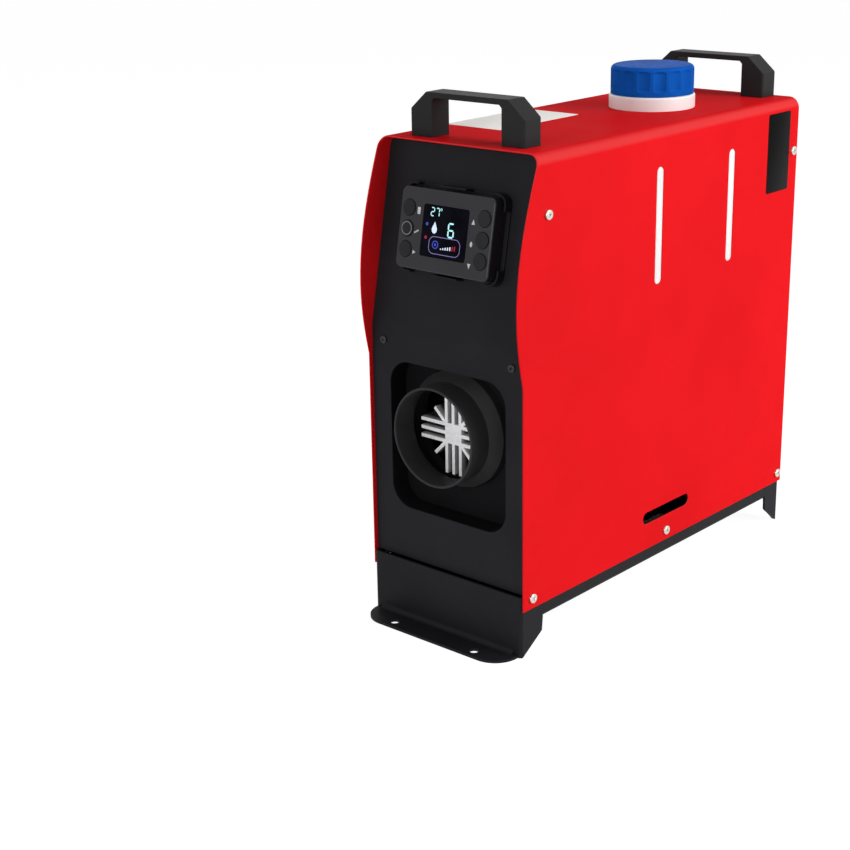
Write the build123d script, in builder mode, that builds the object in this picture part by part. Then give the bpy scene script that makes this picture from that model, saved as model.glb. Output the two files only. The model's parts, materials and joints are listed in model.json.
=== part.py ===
from build123d import *
import math
import os

os.makedirs("parts", exist_ok=True)

# ------------------------------------------------------------------ driving sizes (mm, degrees)
# +X right, +Y back, +Z up. The floor is z = 0 and the origin is under the middle of the whole length.

# Case: inverted U of sheet over a base pan that stands on two bent feet
case_width = 147.0
case_depth = 355.0
case_height = 328.0
stand_height = 36.5
foot_reach = 22.8
shell_sheet = 1.2
shell_corner = 9.0
belly = 7.0
belly_start = 168.0
belly_height = 221.0
belly_lean = 13.0
brow_setback = 17.5
brow_lean = 20.5
lap = 0.2
seat = 0.2

# Windows in the right side: two level slots, one low vent
level_slot_width = 8.2
level_slot_length = 88.0
level_slot_height = 255.5
level_slot_stations = (160.0, 257.0)
vent_length = 62.5
vent_width = 9.5
vent_station = 179.8
vent_height = 26.0

# Front panel, recessed in the shell, its upper part leaning back
panel_sheet = 1.5
panel_recess = 3.0
panel_bend_height = 190.0
panel_lean = 10.7
panel_bend_radius = 60.0
panel_return = 16.0
panel_seam = 11.8
seam_gap = 0.6
rear_recess = 3.0

# Outlet pocket and hot air duct
pocket_width = 109.2
pocket_height = 113.7
pocket_corner = 18.0
pocket_centre = 109.9
pocket_depth = 15.0
tray_wall = 1.6
tray_margin = 3.8
tray_draft = 2.0
duct_radius = 37.5
duct_wall = 2.0
duct_reach = 13.2
duct_centre = 120.5
collar_radius = 44.0
collar_start = 5.6
collar_full = 14.0
collar_end = 25.0

# Heater inside, lying front to back
heater_centre = 117.5
jacket_width = 116.0
jacket_height = 122.0
jacket_corner = 30.0
jacket_wall = 2.0
jacket_start = 50.0
inlet_taper = 20.0
inlet_setback = 39.0
inlet_side_gap = 27.5

# Heat exchanger casting
star_front = 10.0
star_reach = 31.0
star_hub = 7.6
star_diagonal = 24.8
fin_pitch = 6.5
fin_thickness = 2.6
dome_front = 32.0
barrel_radius = 33.0
barrel_wall = 4.0
fins_start = 53.0
fins_setback = 24.0
fin_clearance = 2.0
pedestal_width = 48.0
pedestal_front = 65.0
flange_back = 145.0
flange_height = 12.0
flange_corner = 4.0
exhaust_station = 85.0
intake_station = 130.0
gas_bore = 9.0
channel_wall = 1.0
channel_clearance = 1.5

# Burner, blower and rotor
burner_radius = 24.0
burner_length = 88.0
burner_wall = 1.5
plug_setback = 12.0
sensor_length = 12.0
sensor_width = 5.0
sensor_height = 10.0
plug_radius = 4.0
blower_radius = 48.0
blower_depth = 36.0
blower_wall = 5.0
wheel_radius = 36.0
wheel_blades = 16
wheel_clearance = 2.0
wheel_disc = 2.0
wheel_depth = 12.0
wheel_vane = 1.5
motor_radius = 21.0
motor_length = 36.0
motor_round = 2.0
unit_corner = 2.0
shaft_radius = 3.0
running_fit = 0.06
fan_radius = 48.0
fan_hub_radius = 17.0
fan_depth = 18.0
fan_blades = 7
fan_pitch = 38.0
fan_gap = 2.0
fan_round = 3.0
blade_root = 1.1
blade_tip = 0.8
blade_sink = 2.0
shaft_end = 2.0
blower_room_spare = 2.0

# Stubs under the base
exhaust_radius = 12.0
intake_radius = 12.5
stub_wall = 1.5
stub_insert = 5.0
stub_floor_gap = 5.0
stub_bead = 1.0
stub_bead_gap = 3.0
seal_wall = 3.0
seal_lip = 3.0
seal_thickness = 2.0

# Base
pan_sheet = 1.5
pan_drop = 11.5
pan_side = 16.0
foot_sheet = 2.0
foot_bend = 3.0
foot_proud = 1.0
foot_return = 25.5
heel_return = 21.5
heel_leg = 13.0
heel_tip = 3.5
heel_taper = 7.2
heel_arch = 6.0
heel_gap = 0.2
foot_flare = 14.5
foot_corner = 20.0
foot_inset = 3.0
foot_root = 4.0
foot_hole_radius = 3.5
foot_hole_spacing = 78.8
foot_hole_reach = 15.2

# Bridge that carries the heater
bridge_height = 55.5
bridge_sheet = 1.5
bridge_width = 68.0
bridge_front = 57.0
bridge_back = 153.0
bridge_foot = 13.0
gasket = 1.5
stud_radius = 3.0
stud_length = 10.0
stud_x = 18.0
stud_stations = (71.0, 139.0)
nut_height = 5.0
nut_flats = 10.0

# Fuel tank and filler
tank_wall = 2.5
tank_side_gap = 2.2
tank_top_gap = 1.2
tank_front_gap = 27.0
tank_rear_gap = 24.0
tank_corner = 10.0
shelf_gap = 2.3
shelf_sheet = 1.2
shelf_edge = 8.0
filler_x = 5.2
filler_setback = 109.2
neck_radius = 25.0
neck_wall = 2.6
neck_nut_radius = 33.5
neck_nut_height = 10.6
neck_above_nut = 16.0
cap_radius = 32.3
cap_top = 4.0
cap_gap = 0.3
cap_round = 3.5
cap_flutes = 16
flute_radius = 11.0
flute_depth = 1.7
flute_round = 2.5
cap_rim = 3.0
cap_band = 2.4
neck_thread_depth = 1.2
neck_thread_land = 1.5
neck_nut_chamfer = 1.0
liner_thickness = 1.5

# Fuel line
outlet_setback = 9.0
line_inset = 19.5
line_height = 18.0
hose_radius = 2.5
hose_bore = 1.5
hose_bend = 15.0
outlet_hex = 6.0
outlet_length = 12.0
pump_setback = 25.0
socket_width = 12.0
socket_length = 14.0
socket_height = 12.0
socket_wall = 2.0
pump_radius = 12.0
pump_body = 66.0
pump_tail = 14.0
clamp_rubber = 2.5
clamp_band = 1.2
clamp_width = 18.0
filter_radius = 9.0
filter_length = 38.0
filter_height = 52.0
fuel_pipe_x = 20.0
fuel_pipe_setback = 32.0

# Handles
handle_half = 52.0
handle_leg = 20.5
handle_deep = 19.0
handle_high = 32.0
handle_bar = 4.2
handle_shoulder = 15.0
handle_drop = 13.0
handle_station = 27.5
handle_rear_margin = 3.0
handle_edge = 1.2
handle_round = 0.8
handle_screw = 2.4
handle_screw_head = 3.3

# Screws
screw_shank = 1.9
screw_head = 3.7
screw_head_height = 2.2
screw_length = 8.0
upper_screw_height = 286.0
lower_screw_height = 8.6
front_screw_station = 26.0
rear_screw_margin = 7.0
low_front_station = 10.0
low_mid_station = 179.6
panel_screw_x = 60.5
panel_screw_drop = 9.6
panel_screw_head = 3.0

# Controller, square to the leaning part of the front panel
control_width = 86.0
control_height = 58.0
control_corner = 5.0
control_centre = 265.1
bracket_margin = 3.2
bracket_sheet = 1.5
bracket_lip = 6.0
bracket_corner_run = 12.0
control_back_depth = 7.2
control_front_depth = 5.2
control_wall = 1.8
screen_width = 42.0
screen_height = 36.7
screen_flange = 1.5
screen_depth = 2.6
screen_sink = 0.3
screen_corner = 2.0
board_thickness = 1.6
board_lift = 3.0
board_margin = 1.0
button_radius = 5.7
button_column = 34.6
button_rows = (14.0, -0.8, -15.5)
button_gap = 0.3
button_proud = 0.8
button_travel = 0.9
button_flange = 0.6
switch_size = 6.0

# Rear panel and small fittings
guard_overlap = 8.0
guard_inset = 4.0
guard_thickness = 2.0
guard_rib = 2.4
guard_rings = 4
guard_spokes = 8
grommet_radius = 8.0
grommet_bore = 4.0
grommet_inset = 25.5
grommet_height = 30.0

# ------------------------------------------------------------------ datums
front = -(case_depth - foot_reach) / 2
rear = front + case_depth
sill = stand_height
top = sill + case_height
side = case_width / 2
inner = side - shell_sheet
nest = inner - lap
shell_under = top - shell_sheet
panel_y = front + panel_recess
panel_top = shell_under - lap
panel_low = sill + panel_seam
lean = math.radians(panel_lean)
brow_y = panel_y + (panel_top - sill - panel_bend_height) * math.tan(lean)
rear_y = rear - rear_recess
pan_floor = sill - pan_drop + pan_sheet
pan_under = sill - pan_drop
heater_z = sill + heater_centre
duct_z = sill + duct_centre

# stations along the case, counted from its front edge
inlet_neck = case_depth - inlet_setback
inlet_radius = side - inlet_side_gap
jacket_end = inlet_neck - inlet_taper
barrel_end = jacket_end - (blower_depth + motor_length + fan_depth + fan_gap + shaft_end + blower_room_spare)
fins_end = barrel_end - fins_setback
plug_station = barrel_end - plug_setback
fuel_pipe_station = barrel_end - fuel_pipe_setback
filler_station = case_depth - filler_setback
tank_rear = case_depth - tank_rear_gap
outlet_station = tank_rear - outlet_setback
pump_rear = outlet_station - pump_setback
line_x = side - line_inset
grommet_x = grommet_inset - side
panel_screw_height = panel_bend_height - panel_screw_drop
shelf_height = heater_centre + jacket_height / 2 + shelf_gap
air_channel_drop = jacket_height / 2 - jacket_wall - channel_clearance - channel_wall - gas_bore
guard_radius = inlet_radius - guard_inset + guard_overlap
guard_opening = inlet_radius - guard_inset

duct_plane = Plane(origin=(0, front, duct_z), x_dir=(-1, 0, 0), z_dir=(0, 1, 0))
heater_plane = Plane(origin=(0, front, heater_z), x_dir=(-1, 0, 0), z_dir=(0, 1, 0))
heater_axis = Axis((0, 0, heater_z), (0, 1, 0))
duct_axis = Axis((0, 0, duct_z), (0, 1, 0))

side_screws_front = [(front + front_screw_station, sill + upper_screw_height)]
side_screws_rear = [(rear - rear_screw_margin, sill + upper_screw_height)]
side_screws_foot = [(front + low_front_station, sill + lower_screw_height)]
side_screws_mid = [(front + low_mid_station, sill + lower_screw_height)]
side_screws_heel = [(rear - rear_screw_margin, sill + lower_screw_height)]
side_screws = (side_screws_front + side_screws_rear + side_screws_foot
               + side_screws_mid + side_screws_heel)
handle_stations = (front + handle_station + handle_deep / 2,
                   rear - handle_rear_margin - handle_deep / 2)
handle_leg_x = handle_half - handle_leg / 2
handle_bolts = [(x, y) for y in handle_stations for x in (-handle_leg_x, handle_leg_x)]


def across(stations):
    """Places along the case, each turned so that a cylinder lies across it."""
    return [Location((0, y, z), (0, 90, 0)) for y, z in stations]


def gutter(width, depth, bend, sheet):
    """Section of a bent sheet gutter, its floor's outside on the local X axis, its walls standing up."""
    with BuildSketch() as section:
        with Locations((0, depth)):
            RectangleRounded(width, 2 * depth, bend)
        with Locations((0, depth + sheet)):
            RectangleRounded(width - 2 * sheet, 2 * depth, bend - sheet, mode=Mode.SUBTRACT)
        with Locations((0, depth / 2)):
            Rectangle(2 * width, depth, mode=Mode.INTERSECT)
    return section.sketch


# ------------------------------------------------------------------ case shell
with BuildPart() as case_shell:
    with BuildSketch(Plane.XZ.offset(-rear)):
        with Locations(Location((0, top), 180)):
            add(gutter(case_width, case_height, shell_corner, shell_sheet))
    extrude(amount=case_depth + 2 * belly)
    # the side view: straight below, swelling forward, then swept back to the brow
    with BuildSketch(Plane.YZ.offset(-side)):
        with BuildLine():
            brow = Spline(
                (front, sill + belly_start),
                (front - belly, sill + belly_height),
                (front + brow_setback, top),
                tangents=[
                    (-math.sin(math.radians(belly_lean)), math.cos(math.radians(belly_lean))),
                    (0, 1),
                    (math.sin(math.radians(brow_lean)), math.cos(math.radians(brow_lean))),
                ],
            )
            Polyline(brow @ 1, (rear, top), (rear, sill), (front, sill), brow @ 0)
        make_face()
    extrude(amount=case_width, mode=Mode.INTERSECT)
    # level slots and vent, in the right side only
    with BuildSketch(Plane.YZ.offset(side)):
        with Locations(*[(front + y, sill + level_slot_height) for y in level_slot_stations]):
            SlotOverall(level_slot_length, level_slot_width, rotation=90)
        with Locations((front + vent_station, sill + vent_height)):
            SlotOverall(vent_length, vent_width)
    extrude(amount=2 * shell_sheet, both=True, mode=Mode.SUBTRACT)
    # filler hole, handle bolts, side screws
    with Locations((filler_x, front + filler_station, top)):
        Cylinder(neck_radius + 2 * cap_gap, 4 * shell_sheet, mode=Mode.SUBTRACT)
    with Locations(*[(x, y, top) for x, y in handle_bolts]):
        Cylinder(handle_screw + lap, 4 * shell_sheet, mode=Mode.SUBTRACT)
    with Locations(*across(side_screws)):
        Cylinder(screw_shank + lap, 2 * case_width, mode=Mode.SUBTRACT)
case_shell.part.label = "case_shell"
export_step(case_shell.part, "parts/case_shell.step")


# ------------------------------------------------------------------ front panel
with BuildPart() as front_panel:
    with BuildSketch(Plane.YZ.offset(-nest)):
        with BuildLine():
            face = FilletPolyline(
                (panel_y, panel_low), (panel_y, sill + panel_bend_height), (brow_y, panel_top),
                radius=panel_bend_radius,
            )
            Polyline(
                face @ 1,
                (brow_y + panel_return, panel_top),
                (panel_y + panel_return, sill + panel_bend_height),
                (panel_y + panel_return, panel_low),
                face @ 0,
            )
        make_face()
    extrude(amount=2 * nest)
    fillet(edges().filter_by(Axis.Y).group_by(Axis.Z)[-1], shell_corner - shell_sheet - lap)
    back_faces = [f for f in faces() if f.normal_at().Y > 0.9]
    offset(amount=-panel_sheet, openings=back_faces)
    # mouth of the outlet pocket
    with BuildSketch(duct_plane.offset(panel_recess)):
        with Locations((0, pocket_centre - duct_centre)):
            RectangleRounded(pocket_width, pocket_height, pocket_corner)
    extrude(amount=2 * panel_sheet, both=True, mode=Mode.SUBTRACT)
    with BuildSketch(duct_plane.offset(panel_recess)):
        with Locations(*[(x, panel_screw_height - duct_centre) for x in (-panel_screw_x, panel_screw_x)]):
            Circle(screw_shank + lap)
    extrude(amount=2 * panel_sheet, both=True, mode=Mode.SUBTRACT)
    with Locations(*across(side_screws_front)):
        Cylinder(screw_shank + lap, 2 * case_width, mode=Mode.SUBTRACT)
    with Locations(*[(x, y, panel_top) for x, y in handle_bolts[:2]]):
        Cylinder(handle_screw + lap, 4 * panel_sheet, mode=Mode.SUBTRACT)
front_panel.part.label = "front_panel"
export_step(front_panel.part, "parts/front_panel.step")


# ------------------------------------------------------------------ pocket tray behind the panel
tray_plane = duct_plane.offset(panel_recess + panel_sheet)
tray_half = panel_screw_x + tray_margin
tray_high = panel_screw_height + tray_margin
tray_low = pocket_centre - pocket_height / 2 - tray_margin
with BuildPart() as pocket_tray:
    with BuildSketch(tray_plane):
        with Locations((0, (tray_high + tray_low) / 2 - duct_centre)):
            RectangleRounded(2 * tray_half, tray_high - tray_low, pocket_corner / 3)
    extrude(amount=tray_wall)
    with BuildSketch(tray_plane):
        with Locations((0, pocket_centre - duct_centre)):
            RectangleRounded(pocket_width + 2 * tray_wall, pocket_height + 2 * tray_wall,
                             pocket_corner + tray_wall)
    extrude(amount=pocket_depth + tray_wall, taper=tray_draft)
    with BuildSketch(tray_plane):
        with Locations((0, pocket_centre - duct_centre)):
            RectangleRounded(pocket_width, pocket_height, pocket_corner)
    extrude(amount=pocket_depth, taper=tray_draft, mode=Mode.SUBTRACT)
    with BuildSketch(tray_plane.offset(pocket_depth)):
        Circle(collar_radius + 2 * cap_gap)
    extrude(amount=2 * tray_wall, both=True, mode=Mode.SUBTRACT)
    with BuildSketch(tray_plane):
        with Locations(*[(x, panel_screw_height - duct_centre) for x in (-panel_screw_x, panel_screw_x)]):
            Circle(screw_shank)
    extrude(amount=2 * tray_wall, mode=Mode.SUBTRACT)
pocket_tray.part.label = "pocket_tray"
export_step(pocket_tray.part, "parts/pocket_tray.step")


# ------------------------------------------------------------------ front foot
foot_top = panel_low - seam_gap
foot_y = front - foot_proud


def foot_channel(y_out, turn, deep):
    """Sheet channel seen from above: its wall at y_out, its returns deep, in the direction of turn."""
    with BuildPart() as channel:
        with BuildSketch():
            with Locations(Location((0, y_out), 0 if turn > 0 else 180)):
                add(gutter(2 * nest, deep, foot_bend, foot_sheet))
        extrude(amount=foot_top)
        # the returns narrow towards the floor
        with BuildSketch(Plane.YZ.offset(-side)):
            with BuildLine():
                Polyline(
                    (y_out - turn, 0),
                    (y_out + turn * foot_sheet, 0),
                    (y_out + turn * (deep - foot_sheet / 2), foot_flare),
                    (y_out + turn * deep, pan_under),
                    (y_out + turn * deep, foot_top),
                    (y_out - turn, foot_top),
                    close=True,
                )
            make_face()
        extrude(amount=case_width, mode=Mode.INTERSECT)
    return channel.part


with BuildPart() as front_foot:
    add(foot_channel(foot_y, 1, foot_return))
    with BuildSketch():
        reach = foot_reach - foot_proud
        with Locations((0, foot_y - reach / 2 + foot_sheet / 2)):
            Rectangle(2 * (nest - foot_inset), reach + foot_sheet)
        fillet(vertices().group_by(Axis.Y)[0], foot_corner)
        fillet(vertices().group_by(Axis.Y)[-1], foot_bend / 2)
    extrude(amount=foot_sheet)
    # round root where the flange leaves the plate
    with BuildSketch(Plane.YZ):
        with Locations((foot_y - foot_root / 2, foot_sheet + foot_root / 2)):
            Rectangle(foot_root, foot_root)
        with Locations((foot_y - foot_root, foot_sheet + foot_root)):
            Circle(foot_root, mode=Mode.SUBTRACT)
    extrude(amount=nest - foot_inset - foot_root, both=True)
    with Locations(*[(x, front - foot_hole_reach, 0) for x in (-foot_hole_spacing / 2, foot_hole_spacing / 2)]):
        Cylinder(foot_hole_radius, 4 * foot_sheet, mode=Mode.SUBTRACT)
    with Locations(*across(side_screws_foot)):
        Cylinder(screw_shank, 2 * case_width, mode=Mode.SUBTRACT)
front_foot.part.label = "front_foot"
export_step(front_foot.part, "parts/front_foot.step")


# ------------------------------------------------------------------ rear foot, arched between two tapered legs
heel_y = rear - heel_gap
heel_window = nest - heel_leg
heel_window_top = pan_under - foot_sheet / 2
with BuildPart() as rear_foot:
    add(foot_channel(heel_y, -1, heel_return))
    with BuildSketch(Plane.XZ.offset(-heel_y)):
        RectangleRounded(2 * heel_window, 2 * heel_window_top, heel_arch)
        with BuildLine():
            Polyline((-heel_window, heel_taper), (heel_window, heel_taper),
                     (heel_window + 2 * (heel_leg - heel_tip), -heel_taper),
                     (-heel_window - 2 * (heel_leg - heel_tip), -heel_taper), close=True)
        make_face()
    extrude(amount=2 * foot_sheet, both=True, mode=Mode.SUBTRACT)
    with Locations(*across(side_screws_heel)):
        Cylinder(screw_shank, 2 * case_width, mode=Mode.SUBTRACT)
rear_foot.part.label = "rear_foot"
export_step(rear_foot.part, "parts/rear_foot.step")


# ------------------------------------------------------------------ base pan
pan_front = foot_y + foot_return + lap
pan_back = heel_y - heel_return - lap
tongue_front = foot_y + foot_sheet + lap
tongue_back = heel_y - foot_sheet - lap
tongue_half = nest - foot_sheet - lap
with BuildPart() as base_pan:
    with BuildSketch(Plane.XZ.offset(-pan_back)):
        with Locations((0, pan_under)):
            add(gutter(2 * nest, pan_side + pan_drop, 2 * pan_sheet, pan_sheet))
    extrude(amount=pan_back - pan_front)
    with Locations((0, (tongue_front + tongue_back) / 2, pan_floor - pan_sheet / 2)):
        Box(2 * (tongue_half - foot_bend), tongue_back - tongue_front, pan_sheet)
    # holes: both stubs with their seals, drain slots, side screws
    with Locations((0, front + exhaust_station, pan_floor)):
        Cylinder(exhaust_radius + seal_wall, 4 * pan_sheet, mode=Mode.SUBTRACT)
    with Locations((0, front + intake_station, pan_floor)):
        Cylinder(intake_radius + seal_wall, 4 * pan_sheet, mode=Mode.SUBTRACT)
    with BuildSketch(Plane.XY.offset(pan_under)):
        with Locations((0, (front + rear) / 2 + case_depth / 6)):
            with GridLocations(case_width / 5, case_depth / 12, 3, 3):
                SlotOverall(case_width / 10, 2 * pan_sheet)
    extrude(amount=2 * pan_sheet, both=True, mode=Mode.SUBTRACT)
    with Locations(*across(side_screws_mid)):
        Cylinder(screw_shank, 2 * case_width, mode=Mode.SUBTRACT)
base_pan.part.label = "base_pan"
export_step(base_pan.part, "parts/base_pan.step")


# ------------------------------------------------------------------ rear panel, guard and grommet
rear_low = foot_top + seam_gap
with BuildPart() as rear_panel:
    with BuildSketch(Plane.XZ.offset(-rear_y)):
        with Locations((0, (rear_low + panel_top) / 2)):
            Rectangle(2 * nest, panel_top - rear_low)
        fillet(vertices().group_by(Axis.Y)[-1], shell_corner - shell_sheet - lap)
    extrude(amount=panel_return)
    offset(amount=-panel_sheet, openings=faces().sort_by(Axis.Y)[0])
    with BuildSketch(Plane.XZ.offset(-rear_y)):
        with Locations((0, heater_z)):
            Circle(guard_opening)
        with Locations((grommet_x, sill + grommet_height)):
            Circle(grommet_radius)
    extrude(amount=2 * panel_sheet, both=True, mode=Mode.SUBTRACT)
    with Locations(*across(side_screws_rear)):
        Cylinder(screw_shank + lap, 2 * case_width, mode=Mode.SUBTRACT)
    with Locations(*[(x, y, panel_top) for x, y in handle_bolts[2:]]):
        Cylinder(handle_screw + lap, 4 * panel_sheet, mode=Mode.SUBTRACT)
rear_panel.part.label = "rear_panel"
export_step(rear_panel.part, "parts/rear_panel.step")

ring_step = guard_opening / (guard_rings + 0.5)
with BuildPart() as intake_guard:
    with BuildSketch(heater_plane.offset(rear_y - front)):
        Circle(guard_radius)
        Circle(guard_opening - guard_rib, mode=Mode.SUBTRACT)
        # from the outermost ring inwards, each ring is laid down and then opened
        for ring in range(1, guard_rings):
            Circle(guard_opening - ring * ring_step)
            Circle(guard_opening - ring * ring_step - guard_rib, mode=Mode.SUBTRACT)
        Circle(ring_step / 2)
        with PolarLocations(0, guard_spokes):
            with Locations((guard_opening / 2, 0)):
                Rectangle(guard_opening, guard_rib)
    extrude(amount=guard_thickness)
intake_guard.part.label = "intake_guard"
export_step(intake_guard.part, "parts/intake_guard.step")

with BuildPart() as cable_grommet:
    with BuildSketch(Plane.YZ.offset(grommet_x)):
        with BuildLine():
            axis_z = sill + grommet_height
            Polyline(
                (rear_y - panel_sheet - seal_thickness, axis_z + grommet_bore),
                (rear_y - panel_sheet - seal_thickness, axis_z + grommet_radius + seal_thickness),
                (rear_y - panel_sheet, axis_z + grommet_radius + seal_thickness),
                (rear_y - panel_sheet, axis_z + grommet_radius),
                (rear_y, axis_z + grommet_radius),
                (rear_y, axis_z + grommet_radius + seal_thickness),
                (rear_y + seal_thickness, axis_z + grommet_radius + seal_thickness / 2),
                (rear_y + seal_thickness, axis_z + grommet_bore),
                close=True,
            )
        make_face()
    revolve(axis=Axis((grommet_x, 0, sill + grommet_height), (0, 1, 0)))
cable_grommet.part.label = "cable_grommet"
export_step(cable_grommet.part, "parts/cable_grommet.step")


# ------------------------------------------------------------------ handles
def handle(y_mid):
    """Moulded handle: two square legs, sloped shoulders and a flat bar."""
    high, leg_in = top + handle_high, handle_half - handle_leg
    with BuildPart() as grip:
        with BuildSketch(Plane.XZ.offset(-(y_mid + handle_deep / 2))):
            with BuildLine():
                Polyline(
                    (-handle_half, top),
                    (-handle_half, high - handle_drop),
                    (-handle_half + handle_shoulder, high),
                    (handle_half - handle_shoulder, high),
                    (handle_half, high - handle_drop),
                    (handle_half, top),
                    close=True,
                )
            make_face()
            with Locations((0, (top + high - handle_bar) / 2)):
                Rectangle(2 * leg_in, high - handle_bar - top, mode=Mode.SUBTRACT)
            inside = [v for v in vertices() if abs(v.X) < leg_in + 1 and v.Y < high and v.Y > top + 1]
            chamfer(inside, handle_bar / 2)
        extrude(amount=handle_deep)
        chamfer(edges().filter_by(Axis.Z).filter_by(lambda e: abs(e.center().X) > leg_in + 1), handle_edge)
        # softened edges round both end faces of the moulding
        ends = edges().filter_by(lambda e: abs(abs(e.center().Y - y_mid) - handle_deep / 2) < handle_round / 4)
        fillet(ends.filter_by(lambda e: e.center().Z > top + handle_round), handle_round)
        with Locations(*[(x, y_mid, top) for x in (-handle_leg_x, handle_leg_x)]):
            Cylinder(handle_screw, handle_high, mode=Mode.SUBTRACT)
    return grip.part


front_handle = handle(handle_stations[0])
front_handle.label = "front_handle"
export_step(front_handle, "parts/front_handle.step")

rear_handle = handle(handle_stations[1])
rear_handle.label = "rear_handle"
export_step(rear_handle, "parts/rear_handle.step")

with BuildPart() as handle_screws:
    with Locations(*[(x, y, panel_top - panel_sheet) for x, y in handle_bolts]):
        Cylinder(handle_screw, handle_high / 2, align=(Align.CENTER, Align.CENTER, Align.MIN))
        Cylinder(handle_screw_head, screw_head_height, align=(Align.CENTER, Align.CENTER, Align.MAX))
handle_screws.part.label = "handle_screws"
export_step(handle_screws.part, "parts/handle_screws.step")


# ------------------------------------------------------------------ screws
def pan_screw(shank, head, head_height, length):
    """Pan-head screw: shank below z = 0, domed head above, driver socket cut in."""
    with BuildPart() as screw:
        Cylinder(head, head_height, align=(Align.CENTER, Align.CENTER, Align.MIN))
        fillet(screw.faces().sort_by(Axis.Z)[-1].edges(), 0.7 * head_height)
        Cylinder(shank, length, align=(Align.CENTER, Align.CENTER, Align.MAX))
        with BuildSketch(Plane.XY.offset(head_height)):
            Rectangle(1.1 * head, 0.25 * head)
            Rectangle(0.25 * head, 1.1 * head)
        extrude(amount=-0.5 * head_height, mode=Mode.SUBTRACT)
    return screw.part


case_screw = pan_screw(screw_shank, screw_head, screw_head_height, screw_length)
with BuildPart() as case_screws:
    with Locations(*[Location((side, y, z), (0, 90, 0)) for y, z in side_screws]):
        add(case_screw)
    with Locations(*[Location((-side, y, z), (0, -90, 0)) for y, z in side_screws]):
        add(case_screw)
case_screws.part.label = "case_screws"
export_step(case_screws.part, "parts/case_screws.step")

with BuildPart() as panel_screws:
    with Locations(*[Location((x, panel_y, sill + panel_screw_height), (90, 0, 0))
                     for x in (-panel_screw_x, panel_screw_x)]):
        add(pan_screw(screw_shank, panel_screw_head, screw_head_height / 2, screw_length))
panel_screws.part.label = "panel_screws"
export_step(panel_screws.part, "parts/panel_screws.step")


# ------------------------------------------------------------------ fuel tank on its shelf
shelf_z = sill + shelf_height
shelf_front = panel_y + panel_return + 2 * lap
shelf_back = rear_y - panel_return - 2 * lap
with BuildPart() as tank_shelf:
    with BuildSketch(Plane.XZ.offset(-shelf_back)):
        with Locations((0, shelf_z)):
            add(gutter(2 * nest, shelf_edge, 2 * shelf_sheet, shelf_sheet))
    extrude(amount=shelf_back - shelf_front)
    with Locations((line_x, front + outlet_station, shelf_z)):
        Cylinder(outlet_hex + 5 * lap, 4 * shelf_sheet, mode=Mode.SUBTRACT)
tank_shelf.part.label = "tank_shelf"
export_step(tank_shelf.part, "parts/tank_shelf.step")

tank_low = shelf_z + shelf_sheet
tank_high = shell_under - tank_top_gap
tank_half = inner - tank_side_gap


def tank_block(inset):
    """Blow-moulded block, its front parallel to the leaning panel, every wall moved in by inset."""
    low, high, back = tank_low + inset, tank_high - inset, front + tank_rear - inset
    front_low = panel_y + tank_front_gap + inset
    front_high = front_low + (high - low) * math.tan(lean)
    with BuildPart() as block:
        with BuildSketch(Plane.YZ.offset(-(tank_half - inset))):
            with BuildLine():
                Polyline((front_low, low), (front_high, high), (back, high), (back, low), close=True)
            make_face()
        extrude(amount=2 * (tank_half - inset))
        fillet(block.edges(), tank_corner - inset)
    return block.part


neck_z = top + neck_nut_height + neck_above_nut
with BuildPart() as fuel_tank:
    add(tank_block(0))
    with Locations((filler_x, front + filler_station, tank_high - tank_wall)):
        Cylinder(neck_radius, neck_z - tank_high + tank_wall,
                 align=(Align.CENTER, Align.CENTER, Align.MIN))
    add(tank_block(tank_wall), mode=Mode.SUBTRACT)
    with Locations((filler_x, front + filler_station, tank_high - 2 * tank_wall)):
        Cylinder(neck_radius - neck_wall, neck_z - tank_high + 4 * tank_wall,
                 align=(Align.CENTER, Align.CENTER, Align.MIN), mode=Mode.SUBTRACT)
    with Locations((line_x, front + outlet_station, tank_low)):
        Cylinder(hose_radius, 4 * tank_wall, mode=Mode.SUBTRACT)
    # the neck's threaded stretch is turned down between two lands
    with BuildSketch(Plane.XY.offset(top + neck_nut_height + neck_thread_land)):
        with Locations((filler_x, front + filler_station)):
            Circle(2 * neck_radius)
            Circle(neck_radius - neck_thread_depth, mode=Mode.SUBTRACT)
    extrude(amount=neck_above_nut - 2 * neck_thread_land, mode=Mode.SUBTRACT)
fuel_tank.part.label = "fuel_tank"
export_step(fuel_tank.part, "parts/fuel_tank.step")

with BuildPart() as neck_nut:
    with Locations((filler_x, front + filler_station, top)):
        Cylinder(neck_nut_radius, neck_nut_height, align=(Align.CENTER, Align.CENTER, Align.MIN))
    chamfer(faces().sort_by(Axis.Z)[-1].edges(), neck_nut_chamfer)
    with Locations((filler_x, front + filler_station, top)):
        Cylinder(neck_radius + cap_gap / 3, 4 * neck_nut_height, mode=Mode.SUBTRACT)
neck_nut.part.label = "neck_nut"
export_step(neck_nut.part, "parts/neck_nut.step")

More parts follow.
